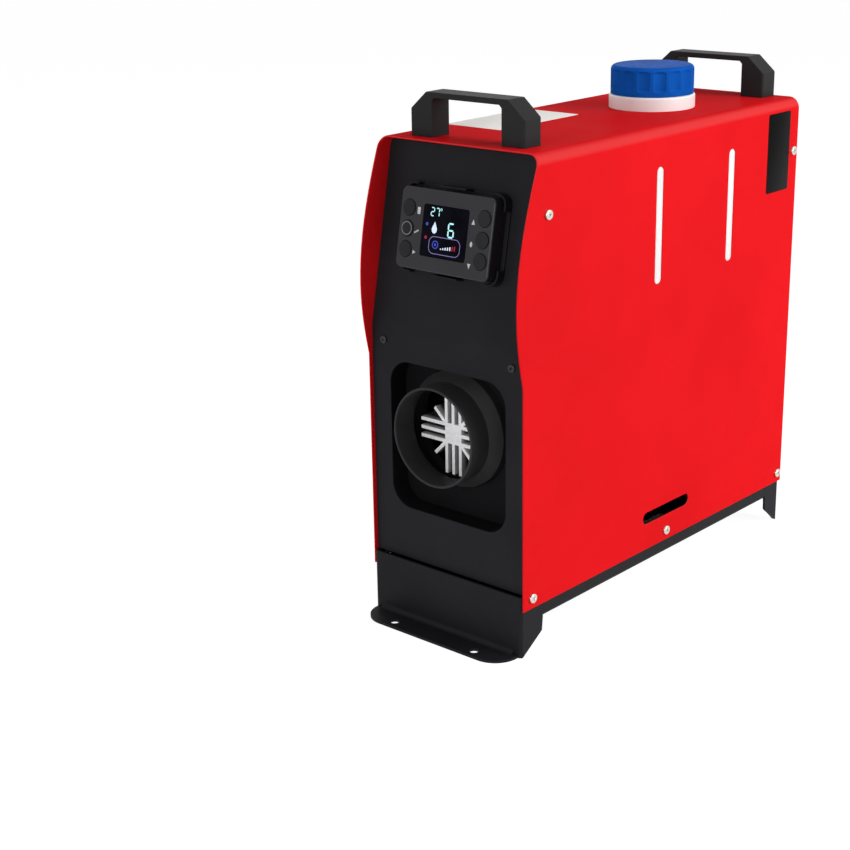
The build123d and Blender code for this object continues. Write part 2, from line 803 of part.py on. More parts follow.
cap_low = top + neck_nut_height + cap_gap
liner_low = neck_z + cap_gap
cap_roof = liner_low + liner_thickness + cap_gap
with BuildPart() as flute:
    Cylinder(flute_radius, cap_roof + cap_top - cap_low - cap_rim - cap_band,
             align=(Align.CENTER, Align.CENTER, Align.MIN))
    fillet(edges().filter_by(GeomType.CIRCLE), flute_round)
with BuildPart() as fuel_cap:
    with Locations((filler_x, front + filler_station, cap_low)):
        Cylinder(cap_radius, cap_roof + cap_top - cap_low, align=(Align.CENTER, Align.CENTER, Align.MIN))
    fillet(faces().sort_by(Axis.Z)[-1].edges(), cap_round)
    with Locations((filler_x, front + filler_station, cap_low)):
        Cylinder(neck_radius + cap_gap, cap_roof - cap_low,
                 align=(Align.CENTER, Align.CENTER, Align.MIN), mode=Mode.SUBTRACT)
    # grip flutes, closed above by the crown and below by the rim
    with Locations((filler_x, front + filler_station, cap_low + cap_rim)):
        with PolarLocations(cap_radius + flute_radius - flute_depth, cap_flutes):
            add(flute.part, mode=Mode.SUBTRACT)
fuel_cap.part.label = "fuel_cap"
export_step(fuel_cap.part, "parts/fuel_cap.step")

with BuildPart() as cap_liner:
    with Locations((filler_x, front + filler_station, liner_low)):
        Cylinder(neck_radius, liner_thickness, align=(Align.CENTER, Align.CENTER, Align.MIN))
cap_liner.part.label = "cap_liner"
export_step(cap_liner.part, "parts/cap_liner.step")


# ------------------------------------------------------------------ outlet duct and hood
with BuildPart() as outlet_duct:
    with BuildSketch(Plane.YZ):
        with BuildLine():
            lip, root, full, end = (front + y for y in (-duct_reach, collar_start, collar_full, collar_end))
            outer, flare = duct_z + duct_radius, duct_z + collar_radius
            Polyline(
                (lip, outer - duct_wall), (lip, outer), (root, outer), (full, flare), (end, flare),
                (end, flare - duct_wall), (full + duct_wall / 2, flare - duct_wall),
                (root + duct_wall / 2, outer - duct_wall),
                close=True,
            )
        make_face()
    revolve(axis=duct_axis)
    fillet(edges().filter_by(GeomType.CIRCLE).group_by(Axis.Y)[0], duct_wall / 3)
outlet_duct.part.label = "outlet_duct"
export_step(outlet_duct.part, "parts/outlet_duct.step")

with BuildPart() as outlet_hood:
    with BuildSketch(duct_plane.offset(collar_end + lap)):
        Circle(collar_radius)
    with BuildSketch(heater_plane.offset(jacket_start)):
        RectangleRounded(jacket_width, jacket_height, jacket_corner)
    loft()
    with BuildSketch(duct_plane.offset(collar_end + lap)):
        Circle(collar_radius - duct_wall - lap - duct_wall)
    with BuildSketch(heater_plane.offset(jacket_start)):
        RectangleRounded(jacket_width - 2 * jacket_wall, jacket_height - 2 * jacket_wall,
                         jacket_corner - jacket_wall)
    loft(mode=Mode.SUBTRACT)
    # spigot inside the duct's collar
    with BuildSketch(duct_plane.offset(collar_full + 2 * duct_wall)):
        Circle(collar_radius - duct_wall - lap)
        Circle(collar_radius - duct_wall - lap - duct_wall, mode=Mode.SUBTRACT)
    extrude(amount=collar_end + lap - collar_full - 2 * duct_wall)
outlet_hood.part.label = "outlet_hood"
export_step(outlet_hood.part, "parts/outlet_hood.step")


# ------------------------------------------------------------------ heater jacket, two halves
def jacket(upper):
    """One half of the moulded jacket, open at both ends and split at the heater's axis."""
    with BuildPart() as half:
        with BuildSketch(heater_plane.offset(jacket_start + lap)):
            RectangleRounded(jacket_width, jacket_height, jacket_corner)
            RectangleRounded(jacket_width - 2 * jacket_wall, jacket_height - 2 * jacket_wall,
                             jacket_corner - jacket_wall, mode=Mode.SUBTRACT)
        extrude(amount=jacket_end - jacket_start - lap)
        split(bisect_by=Plane.XY.offset(heater_z + (lap / 2 if upper else -lap / 2)),
              keep=Keep.TOP if upper else Keep.BOTTOM)
        if not upper:
            # opening for the heat exchanger's mounting flange
            with BuildSketch(Plane.XY.offset(heater_z - jacket_height / 2)):
                with Locations((0, front + (pedestal_front + flange_back) / 2)):
                    Rectangle(pedestal_width + 4 * lap, flange_back - pedestal_front + 4 * lap)
            extrude(amount=2 * jacket_wall, both=True, mode=Mode.SUBTRACT)
            with Locations((fuel_pipe_x, front + fuel_pipe_station, heater_z - jacket_height / 2)):
                Cylinder(hose_radius + lap, 4 * jacket_wall, mode=Mode.SUBTRACT)
    return half.part


jacket_lower = jacket(False)
jacket_lower.label = "jacket_lower"
export_step(jacket_lower, "parts/jacket_lower.step")

jacket_upper = jacket(True)
jacket_upper.label = "jacket_upper"
export_step(jacket_upper, "parts/jacket_upper.step")


# ------------------------------------------------------------------ heat exchanger casting
flange_top = pan_floor + bridge_height + gasket
flange_z = flange_top + flange_height
fin_half_width = jacket_width / 2 - jacket_wall - fin_clearance
fin_half_height = jacket_height / 2 - jacket_wall - fin_clearance
with BuildPart() as heat_exchanger:
    # closed barrel and its dome
    with BuildSketch(heater_plane.offset(dome_front)):
        Circle(barrel_radius)
    extrude(amount=barrel_end - dome_front)
    fillet(faces().sort_by(Axis.Y)[0].edges(), 2 * barrel_wall)
    # star of straight fins in front of the dome: three to each side, one on each diagonal
    with BuildSketch(heater_plane.offset(star_front)):
        with PolarLocations(0, 4):
            with Locations(*[(star_reach / 2, k * fin_pitch) for k in (-1, 0, 1)]):
                Rectangle(star_reach, fin_thickness)
        with PolarLocations(0, 4, start_angle=45):
            with Locations((star_diagonal / 2, 0)):
                Rectangle(star_diagonal, fin_thickness)
        Circle(star_hub)
    extrude(amount=dome_front - star_front + 2 * barrel_wall)
    # the same rows of parallel fins along the barrel, trimmed to the jacket's inside
    with BuildSketch(heater_plane.offset(fins_start)):
        with PolarLocations(0, 4):
            with Locations(*[(barrel_radius, k * fin_pitch) for k in range(-3, 4)]):
                Rectangle(2 * barrel_radius, fin_thickness)
        with PolarLocations(0, 4, start_angle=45):
            with Locations((barrel_radius, 0)):
                Rectangle(2 * barrel_radius, fin_thickness)
        RectangleRounded(2 * fin_half_width, 2 * fin_half_height, jacket_corner - jacket_wall - fin_clearance,
                         mode=Mode.INTERSECT)
    extrude(amount=fins_end - fins_start)
    # pedestal with the mounting flange
    with BuildSketch(Plane.XY.offset(flange_top)):
        with Locations((0, front + (pedestal_front + flange_back) / 2)):
            RectangleRounded(pedestal_width, flange_back - pedestal_front, flange_corner)
    extrude(amount=heater_z - flange_top)
    channel_z = heater_z - air_channel_drop
    channel_floor = channel_z - gas_bore - channel_wall
    with Locations((0, front + (flange_back + barrel_end) / 2, (channel_floor + heater_z) / 2)):
        Box(pedestal_width * 0.6, barrel_end - flange_back, heater_z - channel_floor)
    # combustion chamber, exhaust bore, air bore and the channel back to the blower
    with BuildSketch(heater_plane.offset(barrel_end)):
        Circle(barrel_radius - barrel_wall)
    extrude(amount=-(barrel_end - dome_front - barrel_wall), mode=Mode.SUBTRACT)
    with Locations((0, front + exhaust_station, flange_top)):
        Cylinder(gas_bore, heater_z - flange_top, align=(Align.CENTER, Align.CENTER, Align.MIN),
                 mode=Mode.SUBTRACT)
        Cylinder(exhaust_radius + lap / 4, stub_insert, align=(Align.CENTER, Align.CENTER, Align.MIN),
                 mode=Mode.SUBTRACT)
    with Locations((0, front + intake_station, flange_top)):
        Cylinder(gas_bore, channel_z - flange_top, align=(Align.CENTER, Align.CENTER, Align.MIN),
                 mode=Mode.SUBTRACT)
        Cylinder(intake_radius + lap / 4, stub_insert, align=(Align.CENTER, Align.CENTER, Align.MIN),
                 mode=Mode.SUBTRACT)
    with BuildSketch(heater_plane.offset(barrel_end)):
        with Locations((0, -air_channel_drop)):
            Circle(gas_bore * 0.8)
    extrude(amount=-(barrel_end - intake_station), mode=Mode.SUBTRACT)
    # holes for the glow plug and the fuel pipe, and the four studs
    with Locations((fuel_pipe_x, front + fuel_pipe_station, heater_z - barrel_radius / 2)):
        Cylinder(hose_radius + lap, jacket_height / 2, align=(Align.CENTER, Align.CENTER, Align.MAX),
                 mode=Mode.SUBTRACT)
    with Locations((0, front + plug_station, heater_z)):
        Cylinder(plug_radius + lap, 2 * barrel_radius, align=(Align.CENTER, Align.CENTER, Align.MIN),
                 mode=Mode.SUBTRACT)
    with Locations(*[(x, front + y, flange_top) for x in (-stud_x, stud_x) for y in stud_stations]):
        Cylinder(stud_radius, stud_length, align=(Align.CENTER, Align.CENTER, Align.MAX))
heat_exchanger.part.label = "heat_exchanger"
export_step(heat_exchanger.part, "parts/heat_exchanger.step")


# ------------------------------------------------------------------ burner, glow plug, sensor, fuel pipe
with BuildPart() as burner:
    with BuildSketch(heater_plane.offset(barrel_end)):
        Circle(barrel_radius - barrel_wall - lap)
    extrude(amount=-3 * burner_wall)
    with BuildSketch(heater_plane.offset(barrel_end)):
        Circle(burner_radius)
    extrude(amount=-burner_length)
    with BuildSketch(heater_plane.offset(barrel_end - 2 * burner_wall)):
        Circle(burner_radius - burner_wall)
    extrude(amount=-burner_length, mode=Mode.SUBTRACT)
    with BuildSketch(heater_plane.offset(barrel_end)):
        with PolarLocations(burner_radius * 0.6, 8):
            Circle(burner_wall)
        Circle(2 * burner_wall)
    extrude(amount=-3 * burner_wall, mode=Mode.SUBTRACT)
    with Locations((0, front + plug_station, heater_z)):
        Cylinder(plug_radius + lap, 2 * burner_radius, align=(Align.CENTER, Align.CENTER, Align.MIN),
                 mode=Mode.SUBTRACT)
burner.part.label = "burner"
export_step(burner.part, "parts/burner.step")

with BuildPart() as glow_plug:
    with Locations((0, front + plug_station, heater_z + burner_radius * 0.4)):
        Cylinder(plug_radius, barrel_radius - burner_radius * 0.4 + 2 * barrel_wall,
                 align=(Align.CENTER, Align.CENTER, Align.MIN))
    with BuildSketch(Plane.XY.offset(heater_z + barrel_radius + lap)):
        with Locations((0, front + plug_station)):
            RegularPolygon(1.5 * plug_radius, 6)
    extrude(amount=1.2 * plug_radius)
glow_plug.part.label = "glow_plug"
export_step(glow_plug.part, "parts/glow_plug.step")

with BuildPart() as overheat_sensor:
    with Locations((barrel_radius + lap, front + plug_station, heater_z)):
        Box(sensor_width, sensor_length, sensor_height, align=(Align.MIN, Align.CENTER, Align.CENTER))
    with Locations((barrel_radius + lap + sensor_width, front + plug_station, heater_z)):
        Box(sensor_width / 2, sensor_length / 2, sensor_height / 2,
            align=(Align.MIN, Align.CENTER, Align.CENTER))
overheat_sensor.part.label = "overheat_sensor"
export_step(overheat_sensor.part, "parts/overheat_sensor.step")


# ------------------------------------------------------------------ combustion air blower and motor
blower_front = barrel_end + seat
blower_back = blower_front + blower_depth
with BuildPart() as blower_housing:
    with BuildSketch(heater_plane.offset(blower_front)):
        Circle(blower_radius)
        with Locations((0, -(heater_z - channel_floor) / 2)):
            Rectangle(4 * gas_bore, heater_z - channel_floor)
    extrude(amount=blower_depth)
    with BuildSketch(heater_plane.offset(blower_front + blower_wall)):
        Circle(wheel_radius + wheel_clearance)
    extrude(amount=blower_depth - 2 * blower_wall, mode=Mode.SUBTRACT)
    with BuildSketch(heater_plane.offset(blower_front)):
        Circle(4 * shaft_radius)
        with Locations((0, -air_channel_drop)):
            Circle(gas_bore * 0.8)
    extrude(amount=2 * blower_wall, mode=Mode.SUBTRACT)
    with Locations((0, front + blower_front + 1.5 * blower_wall, heater_z - air_channel_drop)):
        Box(gas_bore, blower_wall, air_channel_drop - wheel_radius / 2,
            align=(Align.CENTER, Align.CENTER, Align.MIN), mode=Mode.SUBTRACT)
    with BuildSketch(heater_plane.offset(blower_back)):
        Circle(shaft_radius + 2 * lap)
    extrude(amount=-2 * blower_wall, mode=Mode.SUBTRACT)
blower_housing.part.label = "blower_housing"
export_step(blower_housing.part, "parts/blower_housing.step")

motor_back = blower_back + seat + motor_length
with BuildPart() as blower_motor:
    with BuildSketch(heater_plane.offset(blower_back + seat)):
        Circle(1.5 * motor_radius)
    extrude(amount=blower_wall / 2)
    with BuildSketch(heater_plane.offset(blower_back + seat)):
        Circle(motor_radius)
    extrude(amount=motor_length)
    fillet(faces().sort_by(Axis.Y)[-1].edges(), motor_round)
    with BuildSketch(heater_plane.offset(blower_back + seat)):
        Circle(shaft_radius + running_fit)
    extrude(amount=motor_length, mode=Mode.SUBTRACT)
blower_motor.part.label = "blower_motor"
export_step(blower_motor.part, "parts/blower_motor.step")

wheel_back = blower_back - blower_wall - wheel_vane
fan_front = motor_back + fan_gap
with BuildPart() as rotor_shaft:
    with BuildSketch(heater_plane.offset(blower_front + blower_wall + fan_gap)):
        Circle(shaft_radius)
    extrude(amount=fan_front + fan_depth + shaft_end - blower_front - blower_wall - fan_gap)
rotor_shaft.part.label = "rotor_shaft"
export_step(rotor_shaft.part, "parts/rotor_shaft.step")

with BuildPart() as combustion_wheel:
    with BuildSketch(heater_plane.offset(wheel_back)):
        Circle(wheel_radius)
    extrude(amount=-wheel_disc)
    with BuildSketch(heater_plane.offset(wheel_back - wheel_disc)):
        Circle(3 * shaft_radius)
        with PolarLocations(wheel_radius * 0.7, wheel_blades):
            Rectangle(wheel_radius * 0.45, wheel_vane, rotation=25)
    extrude(amount=-wheel_depth)
    with BuildSketch(heater_plane.offset(wheel_back)):
        Circle(shaft_radius)
    extrude(amount=-2 * wheel_depth, mode=Mode.SUBTRACT)
combustion_wheel.part.label = "combustion_wheel"
export_step(combustion_wheel.part, "parts/combustion_wheel.step")

with BuildPart() as blade:
    # one pitched blade standing out along +X, thin at both edges
    with BuildSketch(Plane.YZ.offset(fan_hub_radius - blade_sink)):
        Ellipse(fan_depth * 0.55, blade_root, rotation=fan_pitch)
    with BuildSketch(Plane.YZ.offset(fan_radius)):
        Ellipse(fan_depth * 0.62, blade_tip, rotation=fan_pitch * 0.7)
    loft()
with BuildPart() as fan_wheel:
    with BuildSketch(heater_plane.offset(fan_front)):
        Circle(fan_hub_radius)
    extrude(amount=fan_depth)
    fillet(faces().sort_by(Axis.Y)[-1].edges(), fan_round)
    with Locations(Plane(origin=(0, front + fan_front + fan_depth / 2, heater_z), x_dir=(1, 0, 0),
                         z_dir=(0, 1, 0))):
        with PolarLocations(0, fan_blades):
            add(blade.part)
    with BuildSketch(heater_plane.offset(fan_front)):
        Circle(fan_radius)
    extrude(amount=fan_depth, mode=Mode.INTERSECT)
    with BuildSketch(heater_plane.offset(fan_front)):
        Circle(shaft_radius)
    extrude(amount=fan_depth, mode=Mode.SUBTRACT)
fan_wheel.part.label = "fan_wheel"
export_step(fan_wheel.part, "parts/fan_wheel.step")

guard_plane_y = rear_y - panel_sheet - lap - front
with BuildPart() as inlet_hood:
    with BuildSketch(heater_plane.offset(jacket_end + lap)):
        RectangleRounded(jacket_width, jacket_height, jacket_corner)
    with BuildSketch(heater_plane.offset(inlet_neck)):
        Circle(inlet_radius)
    loft()
    with BuildSketch(heater_plane.offset(inlet_neck)):
        Circle(inlet_radius)
    extrude(amount=guard_plane_y - inlet_neck)
    with BuildSketch(heater_plane.offset(jacket_end + lap)):
        RectangleRounded(jacket_width - 2 * jacket_wall, jacket_height - 2 * jacket_wall,
                         jacket_corner - jacket_wall)
    with BuildSketch(heater_plane.offset(inlet_neck)):
        Circle(inlet_radius - jacket_wall)
    loft(mode=Mode.SUBTRACT)
    with BuildSketch(heater_plane.offset(inlet_neck)):
        Circle(inlet_radius - jacket_wall)
    extrude(amount=guard_plane_y - inlet_neck, mode=Mode.SUBTRACT)
inlet_hood.part.label = "inlet_hood"
export_step(inlet_hood.part, "parts/inlet_hood.step")

unit_high = heater_z + jacket_height / 2 - jacket_wall - seat
with BuildPart() as control_unit:
    with BuildSketch(Plane.XY.offset(unit_high)):
        with Locations((0, front + (blower_back + motor_back) / 2)):
            RectangleRounded(2.6 * motor_radius, motor_length - 2 * unit_corner, unit_corner)
    extrude(amount=-(jacket_height / 2 - jacket_wall - 1.5 * motor_radius - 2))
    fillet(faces().sort_by(Axis.Z)[0].edges(), unit_corner)
control_unit.part.label = "control_unit"
export_step(control_unit.part, "parts/control_unit.step")


# ------------------------------------------------------------------ bridge, gasket, nuts
bridge_top = pan_floor + bridge_height
with BuildPart() as mount_bridge:
    with BuildSketch(Plane.YZ.offset(-bridge_width / 2)):
        with BuildLine():
            ahead, behind = front + bridge_front, front + bridge_back
            outside = FilletPolyline(
                (ahead - bridge_foot, pan_floor + bridge_sheet),
                (ahead, pan_floor + bridge_sheet),
                (ahead, bridge_top),
                (behind, bridge_top),
                (behind, pan_floor + bridge_sheet),
                (behind + bridge_foot, pan_floor + bridge_sheet),
                radius=2 * bridge_sheet,
            )
            offset(amount=bridge_sheet, side=Side.RIGHT)
        make_face()
    extrude(amount=bridge_width)
    with BuildSketch(Plane.XY.offset(bridge_top)):
        with Locations((0, front + exhaust_station)):
            Circle(exhaust_radius + 2 * lap)
        with Locations((0, front + intake_station)):
            Circle(intake_radius + 2 * lap)
        with Locations(*[(x, front + y) for x in (-stud_x, stud_x) for y in stud_stations]):
            Circle(stud_radius + lap)
        with Locations((fuel_pipe_x, front + fuel_pipe_station)):
            Circle(hose_radius + lap)
    extrude(amount=-2 * bridge_sheet, mode=Mode.SUBTRACT)
mount_bridge.part.label = "mount_bridge"
export_step(mount_bridge.part, "parts/mount_bridge.step")

with BuildPart() as base_gasket:
    with BuildSketch(Plane.XY.offset(bridge_top)):
        with Locations((0, front + (pedestal_front + flange_back) / 2)):
            RectangleRounded(pedestal_width, flange_back - pedestal_front, flange_corner)
        with Locations((0, front + exhaust_station)):
            Circle(exhaust_radius + 2 * lap, mode=Mode.SUBTRACT)
        with Locations((0, front + intake_station)):
            Circle(intake_radius + 2 * lap, mode=Mode.SUBTRACT)
        with Locations(*[(x, front + y) for x in (-stud_x, stud_x) for y in stud_stations]):
            Circle(stud_radius + lap, mode=Mode.SUBTRACT)
        with Locations((fuel_pipe_x, front + fuel_pipe_station)):
            Circle(hose_radius + lap, mode=Mode.SUBTRACT)
    extrude(amount=gasket)
base_gasket.part.label = "base_gasket"
export_step(base_gasket.part, "parts/base_gasket.step")

with BuildPart() as mount_nuts:
    with BuildSketch(Plane.XY.offset(bridge_top - bridge_sheet)):
        with Locations(*[(x, front + y) for x in (-stud_x, stud_x) for y in stud_stations]):
            RegularPolygon(nut_flats / 2, 6, major_radius=False)
            Circle(stud_radius + lap / 4, mode=Mode.SUBTRACT)
    extrude(amount=-nut_height)
mount_nuts.part.label = "mount_nuts"
export_step(mount_nuts.part, "parts/mount_nuts.step")


# ------------------------------------------------------------------ stubs below the base, with seals
def stub(station, radius):
    """Straight pipe from the flange down through the pan, open at both ends."""
    high = flange_top + stub_insert - lap
    with BuildPart() as pipe:
        with Locations((0, front + station, stub_floor_gap)):
            Cylinder(radius, high - stub_floor_gap, align=(Align.CENTER, Align.CENTER, Align.MIN))
        # bead that stops a pipe pushed on from below
        with Locations((0, front + station, pan_under - seal_thickness - stub_bead_gap)):
            Cylinder(radius + stub_bead, 2 * stub_bead, align=(Align.CENTER, Align.CENTER, Align.MAX))
        with Locations((0, front + station, stub_floor_gap)):
            Cylinder(radius - stub_wall, high - stub_floor_gap,
                     align=(Align.CENTER, Align.CENTER, Align.MIN), mode=Mode.SUBTRACT)
    return pipe.part


exhaust_pipe = stub(exhaust_station, exhaust_radius)
exhaust_pipe.label = "exhaust_pipe"
export_step(exhaust_pipe, "parts/exhaust_pipe.step")

intake_pipe = stub(intake_station, intake_radius)
intake_pipe.label = "intake_pipe"
export_step(intake_pipe, "parts/intake_pipe.step")

with BuildPart() as pipe_seals:
    for station, radius in ((exhaust_station, exhaust_radius), (intake_station, intake_radius)):
        with BuildSketch(Plane.YZ):
            with BuildLine():
                y, bore, hole = front + station, radius + lap / 2, radius + seal_wall - lap / 2
                Polyline(
                    (y + bore, pan_under - seal_thickness),
                    (y + hole + seal_lip, pan_under - seal_thickness),
                    (y + hole + seal_lip, pan_under),
                    (y + hole, pan_under),
                    (y + hole, pan_floor),
                    (y + hole + seal_lip, pan_floor),
                    (y + hole + seal_lip, pan_floor + seal_thickness),
                    (y + bore, pan_floor + seal_thickness),
                    close=True,
                )
            make_face()
        revolve(axis=Axis((0, front + station, 0), (0, 0, 1)))
pipe_seals.part.label = "pipe_seals"
export_step(pipe_seals.part, "parts/pipe_seals.step")


# ------------------------------------------------------------------ fuel pump, clamp, filter, fittings
line_z = pan_floor + line_height
pump_front = pump_rear - pump_body - 2 * pump_tail
pump_plane = Plane(origin=(line_x, front + pump_front, line_z), x_dir=(-1, 0, 0), z_dir=(0, 1, 0))
with BuildPart() as fuel_pump:
    with BuildSketch(Plane.YZ.offset(line_x)):
        with BuildLine():
            start, body, tail, stop = (front + y for y in (
                pump_front, pump_front + pump_tail, pump_rear - pump_tail, pump_rear))
            Polyline(
                (start, line_z + hose_bore), (start, line_z + hose_radius),
                (body - pump_tail / 2, line_z + hose_radius), (body - pump_tail / 2, line_z + 2 * hose_radius),
                (body, line_z + 2 * hose_radius), (body, line_z + pump_radius),
                (tail, line_z + pump_radius), (tail, line_z + 2 * hose_radius),
                (tail + pump_tail / 2, line_z + 2 * hose_radius), (tail + pump_tail / 2, line_z + hose_radius),
                (stop, line_z + hose_radius), (stop, line_z + hose_bore),
                close=True,
            )
        make_face()
    revolve(axis=Axis((line_x, 0, line_z), (0, 1, 0)))
    # plug socket on top of the coil
    with Locations((line_x, front + pump_front + pump_tail + pump_body / 4, line_z + pump_radius * 0.8)):
        Box(socket_width, socket_length, socket_height, align=(Align.CENTER, Align.CENTER, Align.MIN))
    with Locations((line_x, front + pump_front + pump_tail + pump_body / 4,
                    line_z + pump_radius * 0.8 + socket_height)):
        Box(socket_width - 2 * socket_wall, socket_length - 2 * socket_wall,
            socket_height - 2 * socket_wall, align=(Align.CENTER, Align.CENTER, Align.MAX),
            mode=Mode.SUBTRACT)
fuel_pump.part.label = "fuel_pump"
export_step(fuel_pump.part, "parts/fuel_pump.step")

clamp_out = pump_radius + clamp_rubber + clamp_band
with BuildPart() as pump_clamp:
    with BuildSketch(pump_plane.offset(pump_tail + pump_body / 2)):
        Circle(clamp_out)
        with BuildLine():
            low = pan_floor - line_z
            Polyline((-clamp_out * 0.7, low), (1.6 * clamp_out, low), (1.6 * clamp_out, low + 2 * clamp_band),
                     (clamp_out * 0.7, low + 2 * clamp_band), (clamp_out * 0.7, 0), (-clamp_out * 0.7, 0),
                     close=True)
        make_face()
        Circle(pump_radius + lap / 4, mode=Mode.SUBTRACT)
    extrude(amount=clamp_width)
pump_clamp.part.label = "pump_clamp"
export_step(pump_clamp.part, "parts/pump_clamp.step")

line_y = front + outlet_station
filter_low = pan_floor + filter_height
with BuildPart() as fuel_filter:
    with BuildSketch(Plane.XZ.offset(-line_y)):
        with BuildLine():
            shoulder = filter_radius / 2
            low, high = filter_low, filter_low + filter_length
            Polyline(
                (line_x + hose_bore, low), (line_x + hose_radius, low),
                (line_x + hose_radius, low + shoulder), (line_x + filter_radius, low + 2 * shoulder),
                (line_x + filter_radius, high - 2 * shoulder), (line_x + hose_radius, high - shoulder),
                (line_x + hose_radius, high), (line_x + hose_bore, high),
                close=True,
            )
        make_face()
    revolve(axis=Axis((line_x, line_y, 0), (0, 0, 1)))
fuel_filter.part.label = "fuel_filter"
export_step(fuel_filter.part, "parts/fuel_filter.step")

with BuildPart() as tank_outlet:
    with BuildSketch(Plane.XY.offset(tank_low - lap)):
        with Locations((line_x, line_y)):
            RegularPolygon(outlet_hex, 6)
    extrude(amount=-outlet_length / 2)
    with Locations((line_x, line_y, tank_low - lap)):
        Cylinder(hose_radius, outlet_length, align=(Align.CENTER, Align.CENTER, Align.MAX))
        Cylinder(hose_radius - lap / 2, 2 * tank_wall, align=(Align.CENTER, Align.CENTER, Align.MIN))
        Cylinder(hose_bore, 4 * outlet_length, mode=Mode.SUBTRACT)
tank_outlet.part.label = "tank_outlet"
export_step(tank_outlet.part, "parts/tank_outlet.step")


# ------------------------------------------------------------------ fuel hoses and the pipe to the burner
def hose(points, first_direction):
    """Hose along straight runs with round bends, bored through."""
    with BuildPart() as run:
        with BuildLine():
            if len(points) > 2:
                path = FilletPolyline(*points, radius=hose_bend)
            else:
                path = Line(*points)
        with BuildSketch(Plane(origin=points[0], z_dir=first_direction)):
            Circle(hose_radius)
            Circle(hose_bore, mode=Mode.SUBTRACT)
        sweep(path=path)
    return run.part


with BuildPart() as suction_hoses:
    add(hose([(line_x, line_y, tank_low - lap - outlet_length),
              (line_x, line_y, filter_low + filter_length)], (0, 0, -1)))
    add(hose([(line_x, line_y, filter_low), (line_x, line_y, line_z),
              (line_x, front + pump_rear, line_z)], (0, 0, -1)))
suction_hoses.part.label = "suction_hoses"
export_step(suction_hoses.part, "parts/suction_hoses.step")

pipe_y = front + fuel_pipe_station
pipe_low = pan_floor + 2 * line_height
feed_hose = hose([(line_x, front + pump_front, line_z), (line_x, pipe_y, line_z),
                  (fuel_pipe_x, pipe_y, line_z), (fuel_pipe_x, pipe_y, pipe_low)], (0, -1, 0))
feed_hose.label = "feed_hose"
export_step(feed_hose, "parts/feed_hose.step")

with BuildPart() as fuel_pipe:
    with Locations((fuel_pipe_x, pipe_y, pipe_low)):
        Cylinder(hose_radius, heater_z - barrel_radius * 0.6 - pipe_low,
                 align=(Align.CENTER, Align.CENTER, Align.MIN))
        Cylinder(hose_bore, 4 * jacket_height, mode=Mode.SUBTRACT)
fuel_pipe.part.label = "fuel_pipe"
export_step(fuel_pipe.part, "parts/fuel_pipe.step")


# ------------------------------------------------------------------ controller on the leaning panel
control_z = sill + control_centre
control_y = panel_y + (control_centre - panel_bend_height) * math.tan(lean)
control_plane = Plane(origin=(0, control_y, control_z), x_dir=(1, 0, 0),
                      z_dir=(0, -math.cos(lean), math.sin(lean)))
bracket_width = control_width + 2 * bracket_margin
bracket_height = control_height + 2 * bracket_margin
bracket_corner = control_corner + bracket_margin
with BuildPart() as control_bracket:
    with BuildSketch(control_plane):
        RectangleRounded(bracket_width, bracket_height, bracket_corner)
    extrude(amount=bracket_sheet)
    # lips that wrap the four corners, and a tab over and under the middle
    with BuildSketch(control_plane):
        RectangleRounded(bracket_width, bracket_height, bracket_corner)
        RectangleRounded(bracket_width - 2 * bracket_sheet, bracket_height - 2 * bracket_sheet,
                         bracket_corner - bracket_sheet, mode=Mode.SUBTRACT)
        Rectangle(bracket_width - 2 * bracket_corner_run, 2 * bracket_height, mode=Mode.SUBTRACT)
        Rectangle(2 * bracket_width, bracket_height - 2 * bracket_corner_run, mode=Mode.SUBTRACT)
    extrude(amount=bracket_sheet + bracket_lip)
    with BuildSketch(control_plane):
        with Locations((0, bracket_height / 2 - bracket_sheet / 2), (0, -bracket_height / 2 + bracket_sheet / 2)):
            Rectangle(2 * bracket_corner_run, bracket_sheet)
    extrude(amount=bracket_sheet + control_back_depth + bracket_sheet)
control_bracket.part.label = "control_bracket"
export_step(control_bracket.part, "parts/control_bracket.step")

back_base = bracket_sheet + seat
back_top = back_base + control_back_depth
with BuildPart() as control_back:
    with BuildSketch(control_plane.offset(back_base)):
        RectangleRounded(control_width, control_height, control_corner)
    extrude(amount=control_back_depth)
    with BuildSketch(control_plane.offset(back_base + control_wall)):
        RectangleRounded(control_width - 2 * control_wall, control_height - 2 * control_wall,
                         control_corner - control_wall)
    extrude(amount=control_back_depth, mode=Mode.SUBTRACT)
    # posts under the board
    with BuildSketch(control_plane.offset(back_base)):
        with GridLocations(control_width * 0.82, control_height * 0.76, 2, 2):
            Circle(control_wall)
    extrude(amount=control_wall + board_lift)
control_back.part.label = "control_back"
export_step(control_back.part, "parts/control_back.step")

front_base = back_top + lap
face_top = front_base + control_front_depth
with BuildPart() as control_front:
    with BuildSketch(control_plane.offset(front_base)):
        RectangleRounded(control_width, control_height, control_corner)
    extrude(amount=control_front_depth)
    face_plane = control_plane.offset(face_top)
    rim = [e for e in edges() if abs(face_plane.to_local_coords(e.center()).Z) < control_wall / 4]
    fillet(rim, control_wall * 0.8)
    with BuildSketch(control_plane.offset(front_base)):
        RectangleRounded(control_width - 2 * control_wall, control_height - 2 * control_wall,
                         control_corner - control_wall)
    extrude(amount=control_front_depth - control_wall, mode=Mode.SUBTRACT)
    with BuildSketch(control_plane.offset(face_top)):
        RectangleRounded(screen_width, screen_height, screen_corner)
        with Locations(*[(x, y) for x in (-button_column, button_column) for y in button_rows]):
            Circle(button_radius + button_gap)
    extrude(amount=2 * control_wall, both=True, mode=Mode.SUBTRACT)
control_front.part.label = "control_front"
export_step(control_front.part, "parts/control_front.step")

